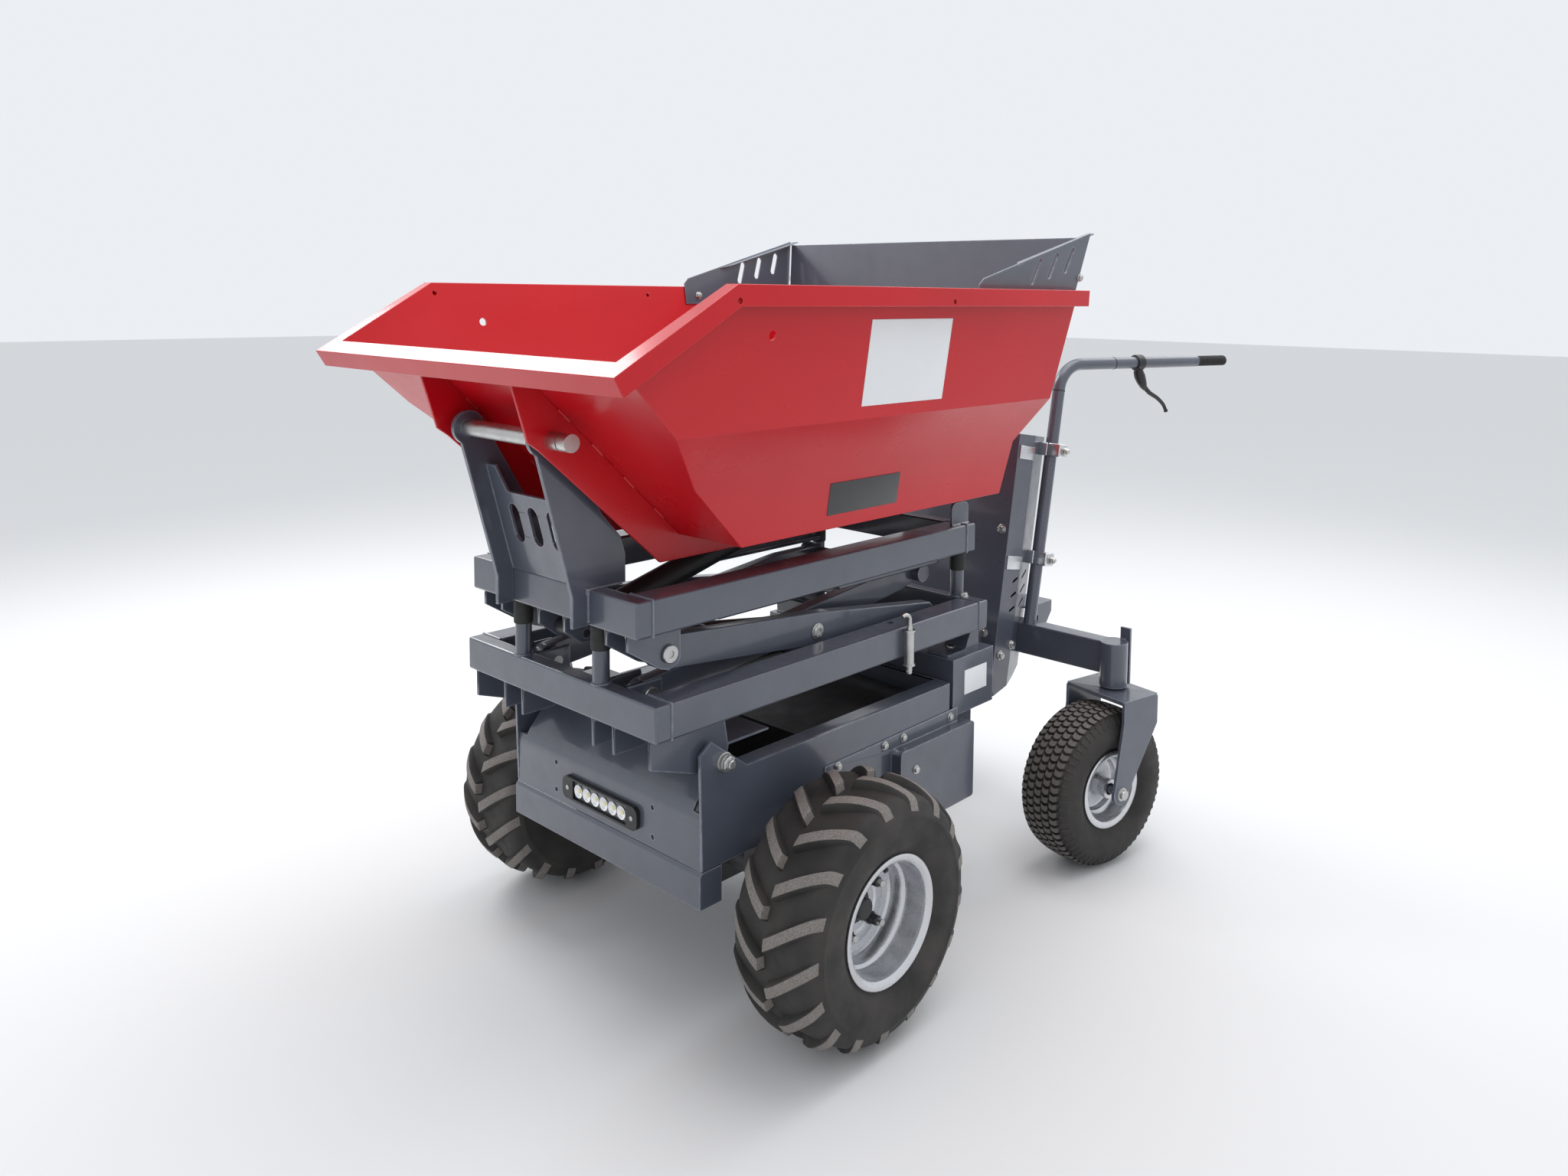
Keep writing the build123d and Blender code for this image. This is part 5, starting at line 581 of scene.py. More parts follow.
def round_edges(node, width, segments=2):
    """A copy of a CAD node with its long outer edges rounded, standing for it."""
    source = frame["nodes"][node]
    mesh = source.data.copy()
    mesh.transform(source.matrix_world)
    shell = bmesh.new()
    shell.from_mesh(mesh)
    bmesh.ops.remove_doubles(shell, verts=shell.verts, dist=1e-5)
    bmesh.ops.dissolve_limit(shell, angle_limit=radians(1.0), verts=shell.verts, edges=shell.edges)
    weight = shell.edges.layers.float.new("bevel_weight_edge")
    for edge in shell.edges:
        sharp = len(edge.link_faces) == 2 and edge.calc_face_angle(0.0) > radians(40.0)
        if sharp and edge.calc_length() > 5 * width and all(is_wide(f, edge, width) for f in edge.link_faces):
            edge[weight] = 1.0
    bmesh.ops.connect_verts_concave(shell, faces=shell.faces)
    shell.to_mesh(mesh)
    shell.free()
    piece = add_piece(f"{node}_finished", mesh, BODY_OF[node], SLOT_OF[node], 35.0, node)
    bevel = piece.modifiers.new("rounding", "BEVEL")
    bevel.width = width
    bevel.segments = segments
    bevel.limit_method = "WEIGHT"
    bevel.use_clamp_overlap = False
    piece.modifiers.new("flat faces", "WEIGHTED_NORMAL").keep_sharp = True


class DUMPER_OT_finishes(bpy.types.Operator):
    """Paints, metals, rubber and plastics, given to every piece of the frame"""

    bl_idname = "dumper.finishes"
    bl_label = "Finishes"

    def execute(self, context):
        finishes = make_finishes(context.scene.dumper_colours)
        finish_of = {**SLOT_OF, "upper_rollers": "grey_paint"}
        for node, piece in frame["nodes"].items():
            for place in piece.material_slots:
                place.material = finishes[finish_of[node]]
        return {"FINISHED"}


class DUMPER_OT_steelwork(bpy.types.Operator):
    """Frames, sheets and plates with rounded edges"""

    bl_idname = "dumper.steelwork"
    bl_label = "Steelwork"

    def execute(self, context):
        sizes = context.scene.dumper_sizes
        for node in ("lower_frame", "upper_frame"):
            round_edges(node, sizes.frame_edge, 3)
        round_edges("chassis_tub", 0.004, 3)
        for node in ("inner_arms", "outer_arms", "caster_beam"):
            round_edges(node, 0.0025)
        for node in (
            "skip_tub", "skip_ribs", "guard_left", "guard_right", "guard_rear", "tower", "hood", "bumper",
            "lamp_bezel", "side_covers", "rear_box", "rear_brackets", "column_cover", "caster_fork_left",
            "caster_fork_right",
        ):
            round_edges(node, sizes.sheet_edge)
        return {"FINISHED"}


class DUMPER_OT_front_tyres(bpy.types.Operator):
    """Front tyres: carcass and swept lugs"""

    bl_idname = "dumper.front_tyres"
    bl_label = "Front tyres"

    def execute(self, context):
        sizes = context.scene.dumper_sizes
        section = CARCASS + other_half(CARCASS)[1:]
        for name, side in SIDES:
            centre, outwards = front_place(side)
            carcass = placed(turned(section, 160, closed=True), centre, outwards)
            shapes, worn = [carcass], [np.zeros(len(carcass[0]))]
            for half, first in ((side, radians(48.0)), (-side, radians(60.0))):
                (points, faces), tops = lugs(sizes.lug_count, first, sizes.lug_sweep, half)
                shapes.append((points + centre, faces))
                worn.append(tops)
            make_piece(
                f"front_tyre_{name}_tread", joined(shapes), f"front_wheel_{name}", "tyre",
                node=f"front_tyre_{name}", worn=np.concatenate(worn),
            )
        return {"FINISHED"}


class DUMPER_OT_front_rims(bpy.types.Operator):
    """Front rims with their nuts, hub caps and valves"""

    bl_idname = "dumper.front_rims"
    bl_label = "Front rims"

    def execute(self, context):
        rim = turned(
            RIM_FLANGE + RIM_DISC + other_half(RIM_FLANGE) + other_half(RIM_WELL) + RIM_WELL, 128, closed=True
        )
        nut = turned([(0, 0), (0, 11.5), (2.2, 11.5), (2.2, 8.6, 1), (17, 8.6, 1), (18.5, 7.8), (18.5, 6.2)])
        stud = turned([(16, 0), (16, 6.3), (28, 6.3), (29.5, 5), (29.5, 0)], 24)
        cap = turned([
            (0, 0), (0, 30), (3, 30), (4.2, 28.5), (4.6, 21), (6, 19.8), (20.5, 19.2), (23, 17), (23.6, 12),
            (23.8, 0),
        ], 48)
        valve = turned([
            (0, 0), (0, 7.5), (3, 7.2), (8, 5.2), (20, 4.4), (20.5, 5.2), (30, 5), (31, 4), (31, 0),
        ], 20)
        turn = radians(45.0) + np.arange(4) * pi / 2
        studs = 50.8 * np.stack([np.cos(turn), 0 * turn, np.sin(turn)], axis=-1)
        valve_way = np.array([cos(radians(95.0)), 0.0, sin(radians(95.0))])
        disc_face, hub_face, valve_out = 9.4, 7.0, 42.0
        for name, side in SIDES:
            centre, out = front_place(side)
            body = f"front_wheel_{name}"
            make_piece(
                f"front_rim_{name}_turned", placed(rim, centre, out), body, "rim_silver",
                node=f"front_rim_{name}", sharp=30.0,
            )
            places = centre + out * disc_face + studs
            make_piece(f"wheel_nuts_{name}", placed(nut, places, out), body, "black_paint")
            make_piece(f"wheel_studs_{name}", placed(stud, places, out), body, "zinc")
            make_piece(f"hub_cap_{name}", placed(cap, centre + out * hub_face, out), body, "black_plastic")
            foot, lean = centre + out * valve_out + 95.5 * valve_way, out * 0.9 - 0.45 * valve_way
            make_piece(f"valve_{name}", placed(valve, foot, lean), body, "black_rubber")
        return {"FINISHED"}


class DUMPER_OT_caster_tyres(bpy.types.Operator):
    """Caster tyres: carcass, rows of wavy blocks and shoulder bars"""

    bl_idname = "dumper.caster_tyres"
    bl_label = "Caster tyres"

    def execute(self, context):
        rows = context.scene.dumper_sizes.block_rows
        half = np.array(CASTER_CARCASS)
        # the carcass from its middle out to its widest place, where each distance outwards has one radius
        crown = half[half[:, 1] > 120.0][::-1].T
        wavy = [
            (-9.6, -8.2), (-3.2, -4.8), (3.2, -4.8), (9.6, -8.2),
            (9.6, 4.2), (3.2, 7.6), (-3.2, 7.6), (-9.6, 4.2),
        ]
        bar = [(-6.0, -4.2), (6.0, -3.2), (6.0, 3.2), (-6.0, 4.2)]
        pitch, shoulder = 22.0, 62.5
        place, row = np.meshgrid(pitch * np.arange(-2, 3), np.arange(rows), indexing="ij")
        start = (row + 0.5 * ((place / pitch) % 2)) * 2 * pi / rows
        blocks, tops = tread_blocks(
            wavy, [(1.15, -2.0), (1.0, 3.9), (0.93, 5.0), (0.0, 5.0)], place, start, crown, 177.0
        )
        section = CASTER_CARCASS + other_half(CASTER_CARCASS)[1:]
        shapes, worn = [turned(section, 120, closed=True), blocks], [tops]
        start = (np.arange(rows) + 0.25) * 2 * pi / rows
        for hand in (1.0, -1.0):
            bars, tops = tread_blocks(
                bar, [(1.1, -2.0), (1.0, 2.6), (0.8, 3.6), (0.0, 3.6)], np.full(rows, shoulder), start, crown,
                165.0, hand,
            )
            shapes.append(bars)
            worn.append(tops)
        tyre = joined(shapes)
        worn = np.concatenate([np.zeros(len(shapes[0][0])), *worn])
        for name, side in SIDES:
            make_piece(
                f"caster_tyre_{name}_tread", placed(tyre, *caster_place(side)), f"caster_wheel_{name}",
                "tyre", node=f"caster_tyre_{name}", worn=worn,
            )
        return {"FINISHED"}


class DUMPER_OT_caster_rims(bpy.types.Operator):
    """Caster rims with their hubs"""

    bl_idname = "dumper.caster_rims"
    bl_label = "Caster rims"

    def execute(self, context):
        flanges = CASTER_RIM_FLANGE + other_half(CASTER_RIM_FLANGE)
        rim = turned(flanges + other_half(CASTER_RIM_WELL) + CASTER_RIM_WELL, 112, closed=True)
        for name, side in SIDES:
            make_piece(
                f"caster_rim_{name}_turned", placed(rim, *caster_place(side)), f"caster_wheel_{name}",
                "rim_silver", node=f"caster_rim_{name}", sharp=30.0,
            )
        return {"FINISHED"}


class DUMPER_OT_welds(bpy.types.Operator):
    """Weld beads on the frames, posts, tower and skip ribs"""

    bl_idname = "dumper.welds"
    bl_label = "Weld beads"

    def execute(self, context):
        radius = context.scene.dumper_sizes.weld_radius * MM
        for body, places in (("chassis", (293.5, -571.2)), ("upper_frame", (302.7, -571.1))):
            half, bottom, top = RAILS[body]
            seams = []
            for x in places:
                seams.append(bead([(x, half, bottom), (x, half, top)], radius))
                seams.append(bead([(x, half, top), (x, half - 60.0, top)], radius))
            make_piece(f"seams_{body}", mirrored(*seams), body, "grey_paint")
        rings = [bead(ring_path((x, y, RAILS["chassis"][2]), 15.6), radius) for x, y in POSTS]
        make_piece("post_beads", mirrored(*rings), "chassis", "grey_paint")
        # along the foot of each tower wall, down the rail's front below it, and a lump where the two meet
        rear, y, top = node_range("tower", 0)[0], TOWER_WALL, RAILS["upper_frame"][2]
        front = 335.7
        make_piece("tower_beads", mirrored(
            bead([(front, y, top), (rear + 8.0, y, top)], radius),
            bead([(front, y, 750.0), (front, y, top)], 1.6 * radius),
            bead([(front + 1.0, y, 798.0), (front + 1.0, y, 809.0)], 2.4 * radius),
        ), "upper_frame", "grey_paint")
        # stitches beside the ribs, on the underside of the front wall, which runs ahead as it climbs
        wall_lean = 1.0428
        stitches = [
            bead([(157.8 + (z - 879.0) * wall_lean, y, z) for z in (low, low + 21.0)], radius)
            for low in (914.0, 976.0, 1038.0, 1100.0) for y in (135.6, 144.4)
        ]
        make_piece("rib_stitches", mirrored(*stitches), "skip", "red_paint")
        return {"FINISHED"}


class DUMPER_OT_fastenings(bpy.types.Operator):
    """Bolts and nuts of the chassis, frames, column and casters"""

    bl_idname = "dumper.fastenings"
    bl_label = "Fastenings"

    def execute(self, context):
        lean = radians(18.0)
        # each bolt: (place, direction)
        plain = [
            ((-814.6, 180.0, 440.8), LEFT), ((-862.0, 180.0, 456.0), LEFT),
            ((-929.2, 168.0, 464.0), (-sin(lean), cos(lean), 0)),
            ((column_x(745.0), 160.0, 745.0), AHEAD), ((column_x(493.0), 143.0, 493.0), AHEAD),
            ((-590.0, 230.0, RAILS["chassis"][2]), UP), ((-547.0, 231.0, 527.0), UP),
        ]
        small = [((x, 286.1, 407.0), LEFT) for x in (-114.5, -254.1, -313.1, -472.6)]
        small.append(((-324.0, 312.1, 344.0), LEFT))
        for name, bolts, head in (
            ("frame_bolts", plain, bolt_head(11.5, 2.0, 8.4, 6.5)),
            ("cover_bolts", small, bolt_head(*SMALL_BOLT)),
        ):
            make_piece(name, mirrored(placed(head, *zip(*bolts))), "chassis", "zinc")
        nut = turned([
            (0, 0), (0, 17), (2.6, 17), (2.8, 16.4), (2.8, 12, 1), (14.5, 12, 1), (16, 10.8), (16, 0),
        ])
        thread = turned([(15, 0), (15, 7.8), (21.5, 7.8), (23, 6.6), (23, 0)], 24)
        hinge = placed(joined([nut, thread]), (175.0, 283.1, 504.0), LEFT)
        make_piece("hinge_nuts", mirrored(hinge), "chassis", "zinc")
        axle_nut = bolt_head(15.0, 2.4, 10.5, 8.0)
        fork_half = 90.0
        for name, side in SIDES:
            centre, outwards = caster_place(side)
            ways = np.stack([outwards, -outwards])
            nuts = placed(axle_nut, centre + fork_half * ways, ways)
            make_piece(f"caster_nuts_{name}", nuts, f"caster_fork_{name}", "zinc")
        screw = turned([(-1, 0), (-1, 4.6), (0.6, 4.6), (1.8, 3.6), (2.2, 2), (1.2, 1.8, 1), (1.2, 0)], 24)
        front = node_range("lamp_bezel", 0)[1]
        make_piece("lamp_screws", mirrored(placed(screw, (front, 98.0, 363.0), AHEAD)), "chassis", "zinc")
        return {"FINISHED"}


class DUMPER_OT_guard_trim(bpy.types.Operator):
    """Bent-in top edges of the side guards and the bolts that hold the guards"""

    bl_idname = "dumper.guard_trim"
    bl_label = "Guard trim"

    def execute(self, context):
        # the top edge climbs from the guard's front to its rear; the flange starts part of the way along it
        front, rear, start = (-352.0, 1345.0), (-733.0, 1449.0), 0.28
        share = np.linspace(start, 1.0, 24)[:, None]
        x = front[0] + (rear[0] - front[0]) * share
        z = front[1] + (rear[1] - front[1]) * share - 0.6
        # once round the strip: (inwards, down), its inner end rising from the bend over a short stretch
        inwards, down = np.array([
            (0.4, 0), (17, 0), (18, 0.6), (18.4, 1.5), (18, 2.4), (17, 3), (0.4, 3),
        ]).T
        inwards = inwards * np.clip((share - start) / 0.06, 0.15, 1.0)
        rings = np.stack([x + 0 * down, guard_y(z) - inwards, z - down], axis=-1)
        strip = closed_rings(rings[0].mean(axis=0), rings, rings[-1].mean(axis=0))
        make_piece("guard_flanges", mirrored(strip), "skip", SLOT_OF["guard_left"], "grey_paint")
        lean = atan2(GUARD_LEAN, 1.0)
        out = np.array([0.0, cos(lean), -sin(lean)])
        places = [(-702.0, guard_y(1352.4), 1352.4), (-381.0, guard_y(1304.0) - 3.0, 1304.0)]
        bolts = placed(bolt_head(*SMALL_BOLT), places, [out, -out])
        make_piece("guard_bolts", mirrored(bolts), "skip", "zinc")
        return {"FINISHED"}


class DUMPER_OT_pin_heads(bpy.types.Operator):
    """Scissor pins: shanks with turned heads that have a centre hole"""

    bl_idname = "dumper.pin_heads"
    bl_label = "Scissor pins"

    def execute(self, context):
        for node in ("lower_pivot_pins", "upper_pivot_pins", "middle_pins"):
            source = frame["nodes"][node]
            points = np.array([source.matrix_world @ v.co for v in source.data.vertices]) * MM
            points = points[points[:, 1] > 0.0]
            low, high = points.min(axis=0), points.max(axis=0)
            x, _, z = (high + low) / 2
            inner, outer = low[1], high[1]
            # the middle pins also hold a spacer between the two arms; their heads are hexagons on a washer
            spacer, head = [], [(-1.4, 16), (0, 14.6), (0, 6.4)]
            if node == "middle_pins":
                spacer = [(-56, 10), (-56, 16), (-35, 16), (-35, 10)]
                head = [(-4, 16), (-3.6, 15.6), (-3.6, 12.2, 1), (-0.8, 12.2, 1), (0, 11.6), (0, 6.4)]
            rings = [
                (inner - outer, 0), (inner - outer, 10), *spacer, (-6, 10), (-6, 15.2), (-5.2, 16), *head,
                (-2.4, 6), (-2.4, 0),
            ]
            pin = placed(turned(rings, 48), (x - AXLE_X * MM, outer, z), LEFT)
            make_piece(f"{node}_turned", mirrored(pin), BODY_OF[node], SLOT_OF[node], "zinc", node=node)
        return {"FINISHED"}


class DUMPER_OT_lock_pin(bpy.types.Operator):
    """Lock pin with its bent handle, in a flanged sleeve on the lower frame"""

    bl_idname = "dumper.lock_pin"
    bl_label = "Lock pin"

    def execute(self, context):
        x, y, wall = -312.0, 300.0, RAILS["chassis"][0]
        # the handle's middle line: (ahead of the pin, height)
        bend = [(0, 640), (0, 652), (1.5, 661), (8, 667), (18, 669), (24, 666.5)]
        handle = curve_through([(x + ahead, y, z) for ahead, z in bend], 6)
        rod = turned([(545, 0), (545, 5.2), (546, 6), (641, 6), (644, 4.4), (644, 0)], 24)
        sleeve = turned([
            (562, 6.4), (562, 12), (565, 12), (565.4, 9.6), (632.6, 9.6), (633, 12), (636, 12), (636, 6.4),
        ], 32, closed=True)
        make_piece("lock_pin_turned", joined([
            tube(handle, 4.4, 14, up=LEFT), placed(rod, (x, y, 0.0), UP), placed(sleeve, (x, y, 0.0), UP),
            copies(rounded_block((5.0, (y - wall) / 2, 33.0), 0.8), (x, (y + wall) / 2, 599.0)),
            tube([(x - 9.0, y, 551.0), (x + 9.0, y, 551.0)], 1.4, 8),
        ]), "chassis", SLOT_OF["lock_pin"], "zinc", node="lock_pin")
        return {"FINISHED"}


class DUMPER_OT_rest_caps(bpy.types.Operator):
    """Rubber caps on the posts that the upper frame rests on"""

    bl_idname = "dumper.rest_caps"
    bl_label = "Rest caps"

    def execute(self, context):
        bottom, top = node_range("rest_pads", 2)
        cap = turned([
            (bottom, 0), (bottom, 16.2), (bottom + 0.8, 17.2), (bottom + 2.5, 17.5), (top - 5.0, 17.5),
            (top - 2.4, 17), (top - 0.8, 15.6), (top, 13), (top, 0),
        ], 48)
        caps = placed(cap, [(x, y, 0.0) for x, y in POSTS], UP)
        make_piece("rest_caps", mirrored(caps), "chassis", "black_rubber", node="rest_pads")
        return {"FINISHED"}


class DUMPER_OT_handles(bpy.types.Operator):
    """Ribbed grips, brake levers and the thin bands on the handlebars"""

    bl_idname = "dumper.handles"
    bl_label = "Handles"

    def execute(self, context):
        foot, bend, end = np.array([BAR_FOOT, BAR_BEND, BAR_END])
        along = (end - bend) / np.linalg.norm(end - bend)
        upwards = (bend - foot) / np.linalg.norm(bend - foot)
        # a grip: ribs at a pitch of 4.6 mm with grooves between them, its closed end rounded
        ribs = -98.0 + 4.6 * np.arange(21)
        ribbed = np.stack([ribs, ribs + 0.5, ribs + 2.9, ribs + 3.4], axis=-1).reshape(-1)
        depths = np.tile([13.0, 14.0, 14.0, 13.0], len(ribs))
        grip = turned([
            (-105, 0), (-105, 13.4), (-104.4, 14), (-99, 14), *zip(ribbed, depths), (0.5, 14), (2.6, 13.4),
            (3.7, 12), (4, 10), (4, 0),
        ])
        sleeves = mirrored(placed(grip, end, along))
        make_piece("grip_sleeves", sleeves, "chassis", "black_rubber", node="grips")
        # a brake lever: a collar on the bar, its body below and a curved blade that thins and ends in a ball
        collar = turned([
            (-331, 15.6), (-331, 19.6), (-329.6, 20.8), (-308.4, 20.8), (-307, 19.6), (-307, 15.6),
        ], closed=True)
        # the middle lines of its body and its blade: (along the bar, down from it)
        axes = np.stack([along, (0.0, 0.0, -1.0)])
        spine = np.array([(0, 14), (2, 24), (7, 36), (14, 50), (21, 62), (27, 72)]) @ axes
        reach = np.array([(20, 60), (42, 80), (72, 96), (95, 114), (108, 134)]) @ axes
        clamp = end - 318.0 * along  # the collar's middle
        casting = tube(clamp + spine, [9, 13, 14.5, 13, 10, 5], 16, up=along)
        path = curve_through(clamp + reach, 8)
        share = np.linspace(0.0, 1.0, len(path))
        blade = tube(path, 6.6 - 2.2 * share + 1.2 * np.clip((share - 0.93) / 0.04, 0.0, 1.0), 14)
        lever = mirrored(placed(collar, end, along), casting, blade)
        make_piece("lever_castings", lever, "chassis", "black_plastic", node="brake_levers")
        band = turned([(-1.1, 15.3), (-1.1, 16), (0, 16.3), (1.1, 16), (1.1, 15.3)], closed=True)
        bands = placed(band, [bend - 66.0 * upwards, end - 407.0 * along], [upwards, along])
        make_piece("bar_bands", mirrored(bands), "chassis", "black_rubber")
        return {"FINISHED"}


class DUMPER_OT_bar_clamps(bpy.types.Operator):
    """Split clamps that hold the handlebars on the column"""

    bl_idname = "dumper.bar_clamps"
    bl_label = "Bar clamps"

    def execute(self, context):
        (low_x, low_z), (high_x, high_z) = CLAMPS
        lean = atan2(low_x - high_x, high_z - low_z)
        axes = np.array([[(cos(lean), 0.0, sin(lean)), LEFT, (-sin(lean), 0.0, cos(lean))]])
        blocks = [
            copies(rounded_block((19.0, half, 16.5), 3.2), (x, y, z), axes)
            for x, z in CLAMPS for y, half in ((174.0, 17.2), (210.2, 17.4))
        ]
        make_piece("clamp_blocks", mirrored(*blocks), "chassis", "clamp_steel", node="bar_clamps")
        nuts = placed(domed_nut(12.5, 2.0, 9.2, 8.0, 8.0), [(x, 227.5, z) for x, z in CLAMPS], LEFT)
        make_piece("clamp_nuts", mirrored(nuts), "chassis", "zinc")
        places = [(column_x(z) - 39.0, 181.5, z) for _, z in CLAMPS]
        strips = copies(rounded_block((32.0, 2.2, 16.5), 1.2), places, axes)
        make_piece("clamp_strips", mirrored(strips), "chassis", "clamp_steel")
        return {"FINISHED"}


class DUMPER_OT_lamp(bpy.types.Operator):
    """Work lamp: dark back, six mirror cups and their chips"""

    bl_idname = "dumper.lamp"
    bl_label = "Lamp"

    def execute(self, context):
        (back, front), (right, left), (bottom, top) = (node_range("lamp_lens", axis) for axis in range(3))
        z = (bottom + top) / 2
        half = ((front - back) / 2 - 1.5, (left - right) / 2, (top - bottom) / 2)
        plate = copies(rounded_block(half, 1.2), (back + half[0], 0.0, z))
        make_piece("lamp_back", plate, "chassis", "lens", node="lamp_lens")
        places = [(front - 3.4, y, z) for y in np.linspace(-66.0, 66.0, 6)]
        cup = turned([(0, 0), (0, 12.6), (3.2, 12.6), (3.2, 11.4), (1.6, 8), (0.9, 4), (0.8, 0)], 32)
        chip = turned([(0.5, 0), (0.5, 4.6), (1.6, 4.2), (2.5, 2.6), (2.8, 0)], 24)
        make_piece("lamp_cups", placed(cup, places, AHEAD), "chassis", "zinc", "lamp_mirror")
        make_piece("lamp_chips", placed(chip, places, AHEAD), "chassis", "lens", "lamp_chip")
        return {"FINISHED"}


class DUMPER_OT_plates(bpy.types.Operator):
    """Blank plates on the skip and the rear box"""

    bl_idname = "dumper.plates"
    bl_label = "Blank plates"

    def execute(self, context):
        # (name, body, slot, finish, x range, z range, y at a height, y per mm of height)
        table = [
            ("skip_plate", "skip", SLOT_OF["skip_tub"], "plate_white", (-263.0, -32.0), (1116.0, 1269.0),
             (404.0, 1093.0), 36.0 / 232.4),
            ("lower_plate", "skip", SLOT_OF["skip_tub"], "plate_dark", (-250.0, -50.0), (906.0, 967.0),
             (306.0, 879.0), 18.0 / 115.0),
            ("box_plate", "chassis", "grey_paint", "plate_white", (-609.5, -527.0), (441.0, 495.0),
             (283.1, 441.0), 0.0),
        ]
        for name, body, slot, finish, (rear, front), (bottom, top), (y, z), slope in table:
            tall = hypot(1.0, slope)
            upwards = np.array([0.0, slope / tall, 1.0 / tall])
            outwards = np.array([0.0, 1.0 / tall, -slope / tall])
            middle = (bottom + top) / 2
            centre = np.array([(rear + front) / 2, y + (middle - z) * slope, middle]) + 0.2 * outwards
            block = rounded_block(((front - rear) / 2, (top - bottom) / 2 * tall, 0.7), 0.5)
            shape = copies(block, centre, np.stack([AHEAD, upwards, outwards])[None])
            make_piece(name, shape, body, slot, finish)
        return {"FINISHED"}


class DUMPER_OT_stage(bpy.types.Operator):
    """Floor, soft light and camera"""

    bl_idname = "dumper.stage"
    bl_label = "Stage"

    def execute(self, context):
        scene = context.scene
        yaw, pitch, roll = radians(-138.675), radians(4.4216), radians(-0.6648)
        forward = Vector((cos(pitch) * cos(yaw), cos(pitch) * sin(yaw), -sin(pitch)))
        right = forward.cross(Vector(UP)).normalized()
        down = forward.cross(right)
        right_rolled = right * cos(roll) + down * sin(roll)
        down_rolled = right * -sin(roll) + down * cos(roll)
        data = bpy.data.cameras.new("camera")
        data.sensor_width = 36.0
        data.lens = 26.551934
        data.shift_x, data.shift_y = -0.0478125, -0.13053711
        data.clip_end = 100.0
        camera = bpy.data.objects.new("camera", data)
        axes = Matrix((right_rolled, -down_rolled, -forward)).transposed().to_4x4()
        camera.matrix_world = Matrix.Translation((1.4845 + AXLE_X, 1.7351, 1.3125)) @ axes
        scene.collection.objects.link(camera)
        scene.camera = camera
        mesh = bpy.data.meshes.new("floor")
        reach = 30.0
        corners = [(-reach, -reach, 0), (reach, -reach, 0), (reach, reach, 0), (-reach, reach, 0)]
        mesh.from_pydata(corners, [], [(0, 1, 2, 3)])
        floor = bpy.data.objects.new("floor", mesh)
        scene.collection.objects.link(floor)
        pale = bpy.data.materials.new("floor")
        pale.use_nodes = True
        shader = pale.node_tree.nodes["Principled BSDF"]
        shader.inputs["Base Color"].default_value = (0.76, 0.76, 0.76, 1)
        shader.inputs["Roughness"].default_value = 0.75
        mesh.materials.append(pale)
        scene.world = bpy.data.worlds.new("world")
        scene.world.use_nodes = True
        sky = scene.world.node_tree.nodes["Background"]
        sky.inputs["Color"].default_value = (0.93, 0.96, 1.0, 1)
        sky.inputs["Strength"].default_value = 0.90
        # soft boxes: (name, place, aimed at, size, power)
        for name, place, aim, size, power in (
            ("side", (0.6, -3.0, 3.2), (0.2, 0.0, 0.7), 1.8, 70.0),
            ("back", (-3.2, 0.6, 3.0), (0.0, 0.0, 0.7), 2.4, 30.0),
            ("top", (-0.2, 0.4, 3.2), (0.0, 0.0, 0.0), 2.4, 42.0),
        ):
            light = bpy.data.lights.new(name, "AREA")
            light.size = size
            light.energy = power
            lamp = bpy.data.objects.new(name, light)
            turn = (Vector(aim) - Vector(place)).to_track_quat("-Z", "Y").to_matrix().to_4x4()
            lamp.matrix_world = Matrix.Translation(place) @ turn
            scene.collection.objects.link(lamp)
        scene.view_settings.view_transform = "Standard"
        return {"FINISHED"}


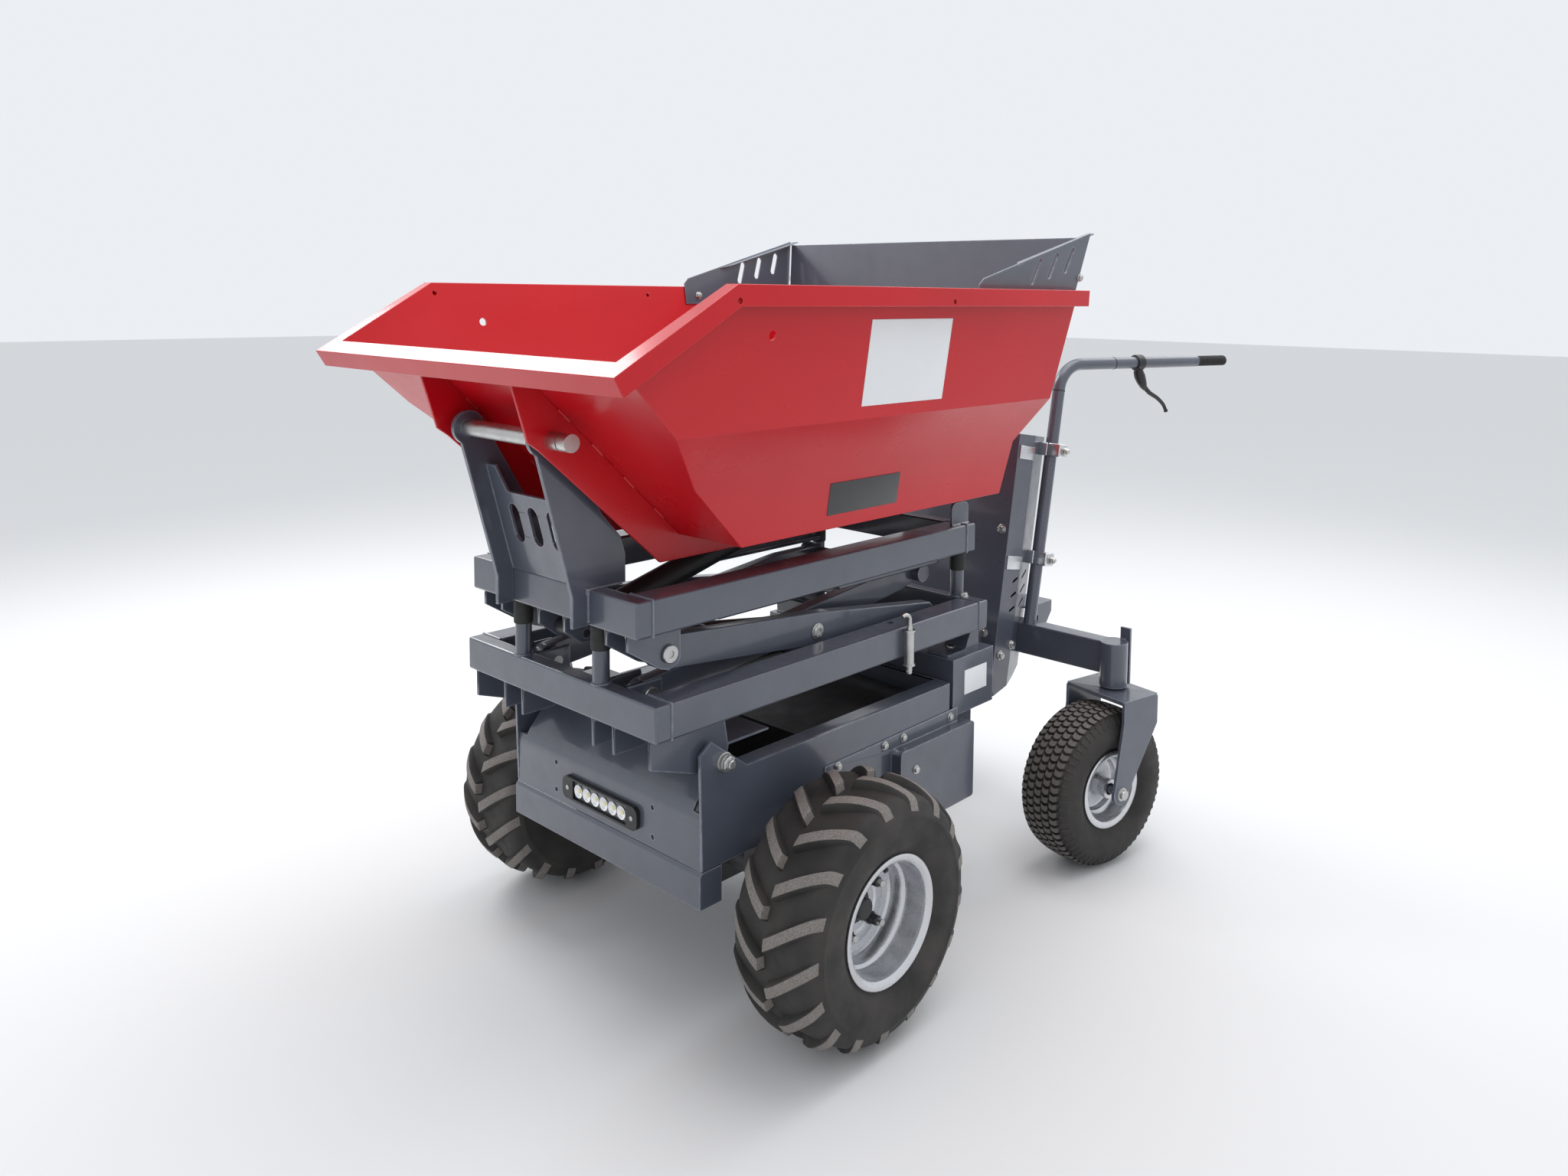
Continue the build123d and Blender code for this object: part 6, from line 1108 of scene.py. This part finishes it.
OPERATORS = [
    DUMPER_OT_stage,
    DUMPER_OT_finishes,
    DUMPER_OT_steelwork,
    DUMPER_OT_front_tyres,
    DUMPER_OT_front_rims,
    DUMPER_OT_caster_tyres,
    DUMPER_OT_caster_rims,
    DUMPER_OT_welds,
    DUMPER_OT_fastenings,
    DUMPER_OT_guard_trim,
    DUMPER_OT_pin_heads,
    DUMPER_OT_lock_pin,
    DUMPER_OT_rest_caps,
    DUMPER_OT_handles,
    DUMPER_OT_bar_clamps,
    DUMPER_OT_lamp,
    DUMPER_OT_plates,
]


class DUMPER_PT_pieces(bpy.types.Panel):
    """Sizes, colours and pieces of the dumper"""

    bl_idname = "DUMPER_PT_pieces"
    bl_label = "Dumper"
    bl_space_type = "VIEW_3D"
    bl_region_type = "UI"
    bl_category = "Dumper"

    def draw(self, context):
        for group in (context.scene.dumper_sizes, context.scene.dumper_colours):
            for name in group.__annotations__:
                self.layout.prop(group, name)
        for operator in OPERATORS:
            self.layout.operator(operator.bl_idname)


CLASSES = [DumperSizes, DumperColours, *OPERATORS, DUMPER_PT_pieces]


def register():
    """Adds the classes and the scene's size and colour groups."""
    for kind in CLASSES:
        bpy.utils.register_class(kind)
    bpy.types.Scene.dumper_sizes = bpy.props.PointerProperty(type=DumperSizes)
    bpy.types.Scene.dumper_colours = bpy.props.PointerProperty(type=DumperColours)


def unregister():
    """Takes out what register adds."""
    del bpy.types.Scene.dumper_colours
    del bpy.types.Scene.dumper_sizes
    for kind in reversed(CLASSES):
        bpy.utils.unregister_class(kind)


def main():
    """Builds every piece in order."""
    register()
    bpy.ops.dumper.stage()
    bpy.ops.dumper.finishes()
    bpy.ops.dumper.steelwork()
    bpy.ops.dumper.front_tyres()
    bpy.ops.dumper.front_rims()
    bpy.ops.dumper.caster_tyres()
    bpy.ops.dumper.caster_rims()
    bpy.ops.dumper.welds()
    bpy.ops.dumper.fastenings()
    bpy.ops.dumper.guard_trim()
    bpy.ops.dumper.pin_heads()
    bpy.ops.dumper.lock_pin()
    bpy.ops.dumper.rest_caps()
    bpy.ops.dumper.handles()
    bpy.ops.dumper.bar_clamps()
    bpy.ops.dumper.lamp()
    bpy.ops.dumper.plates()


if __name__ == "__main__":
    main()
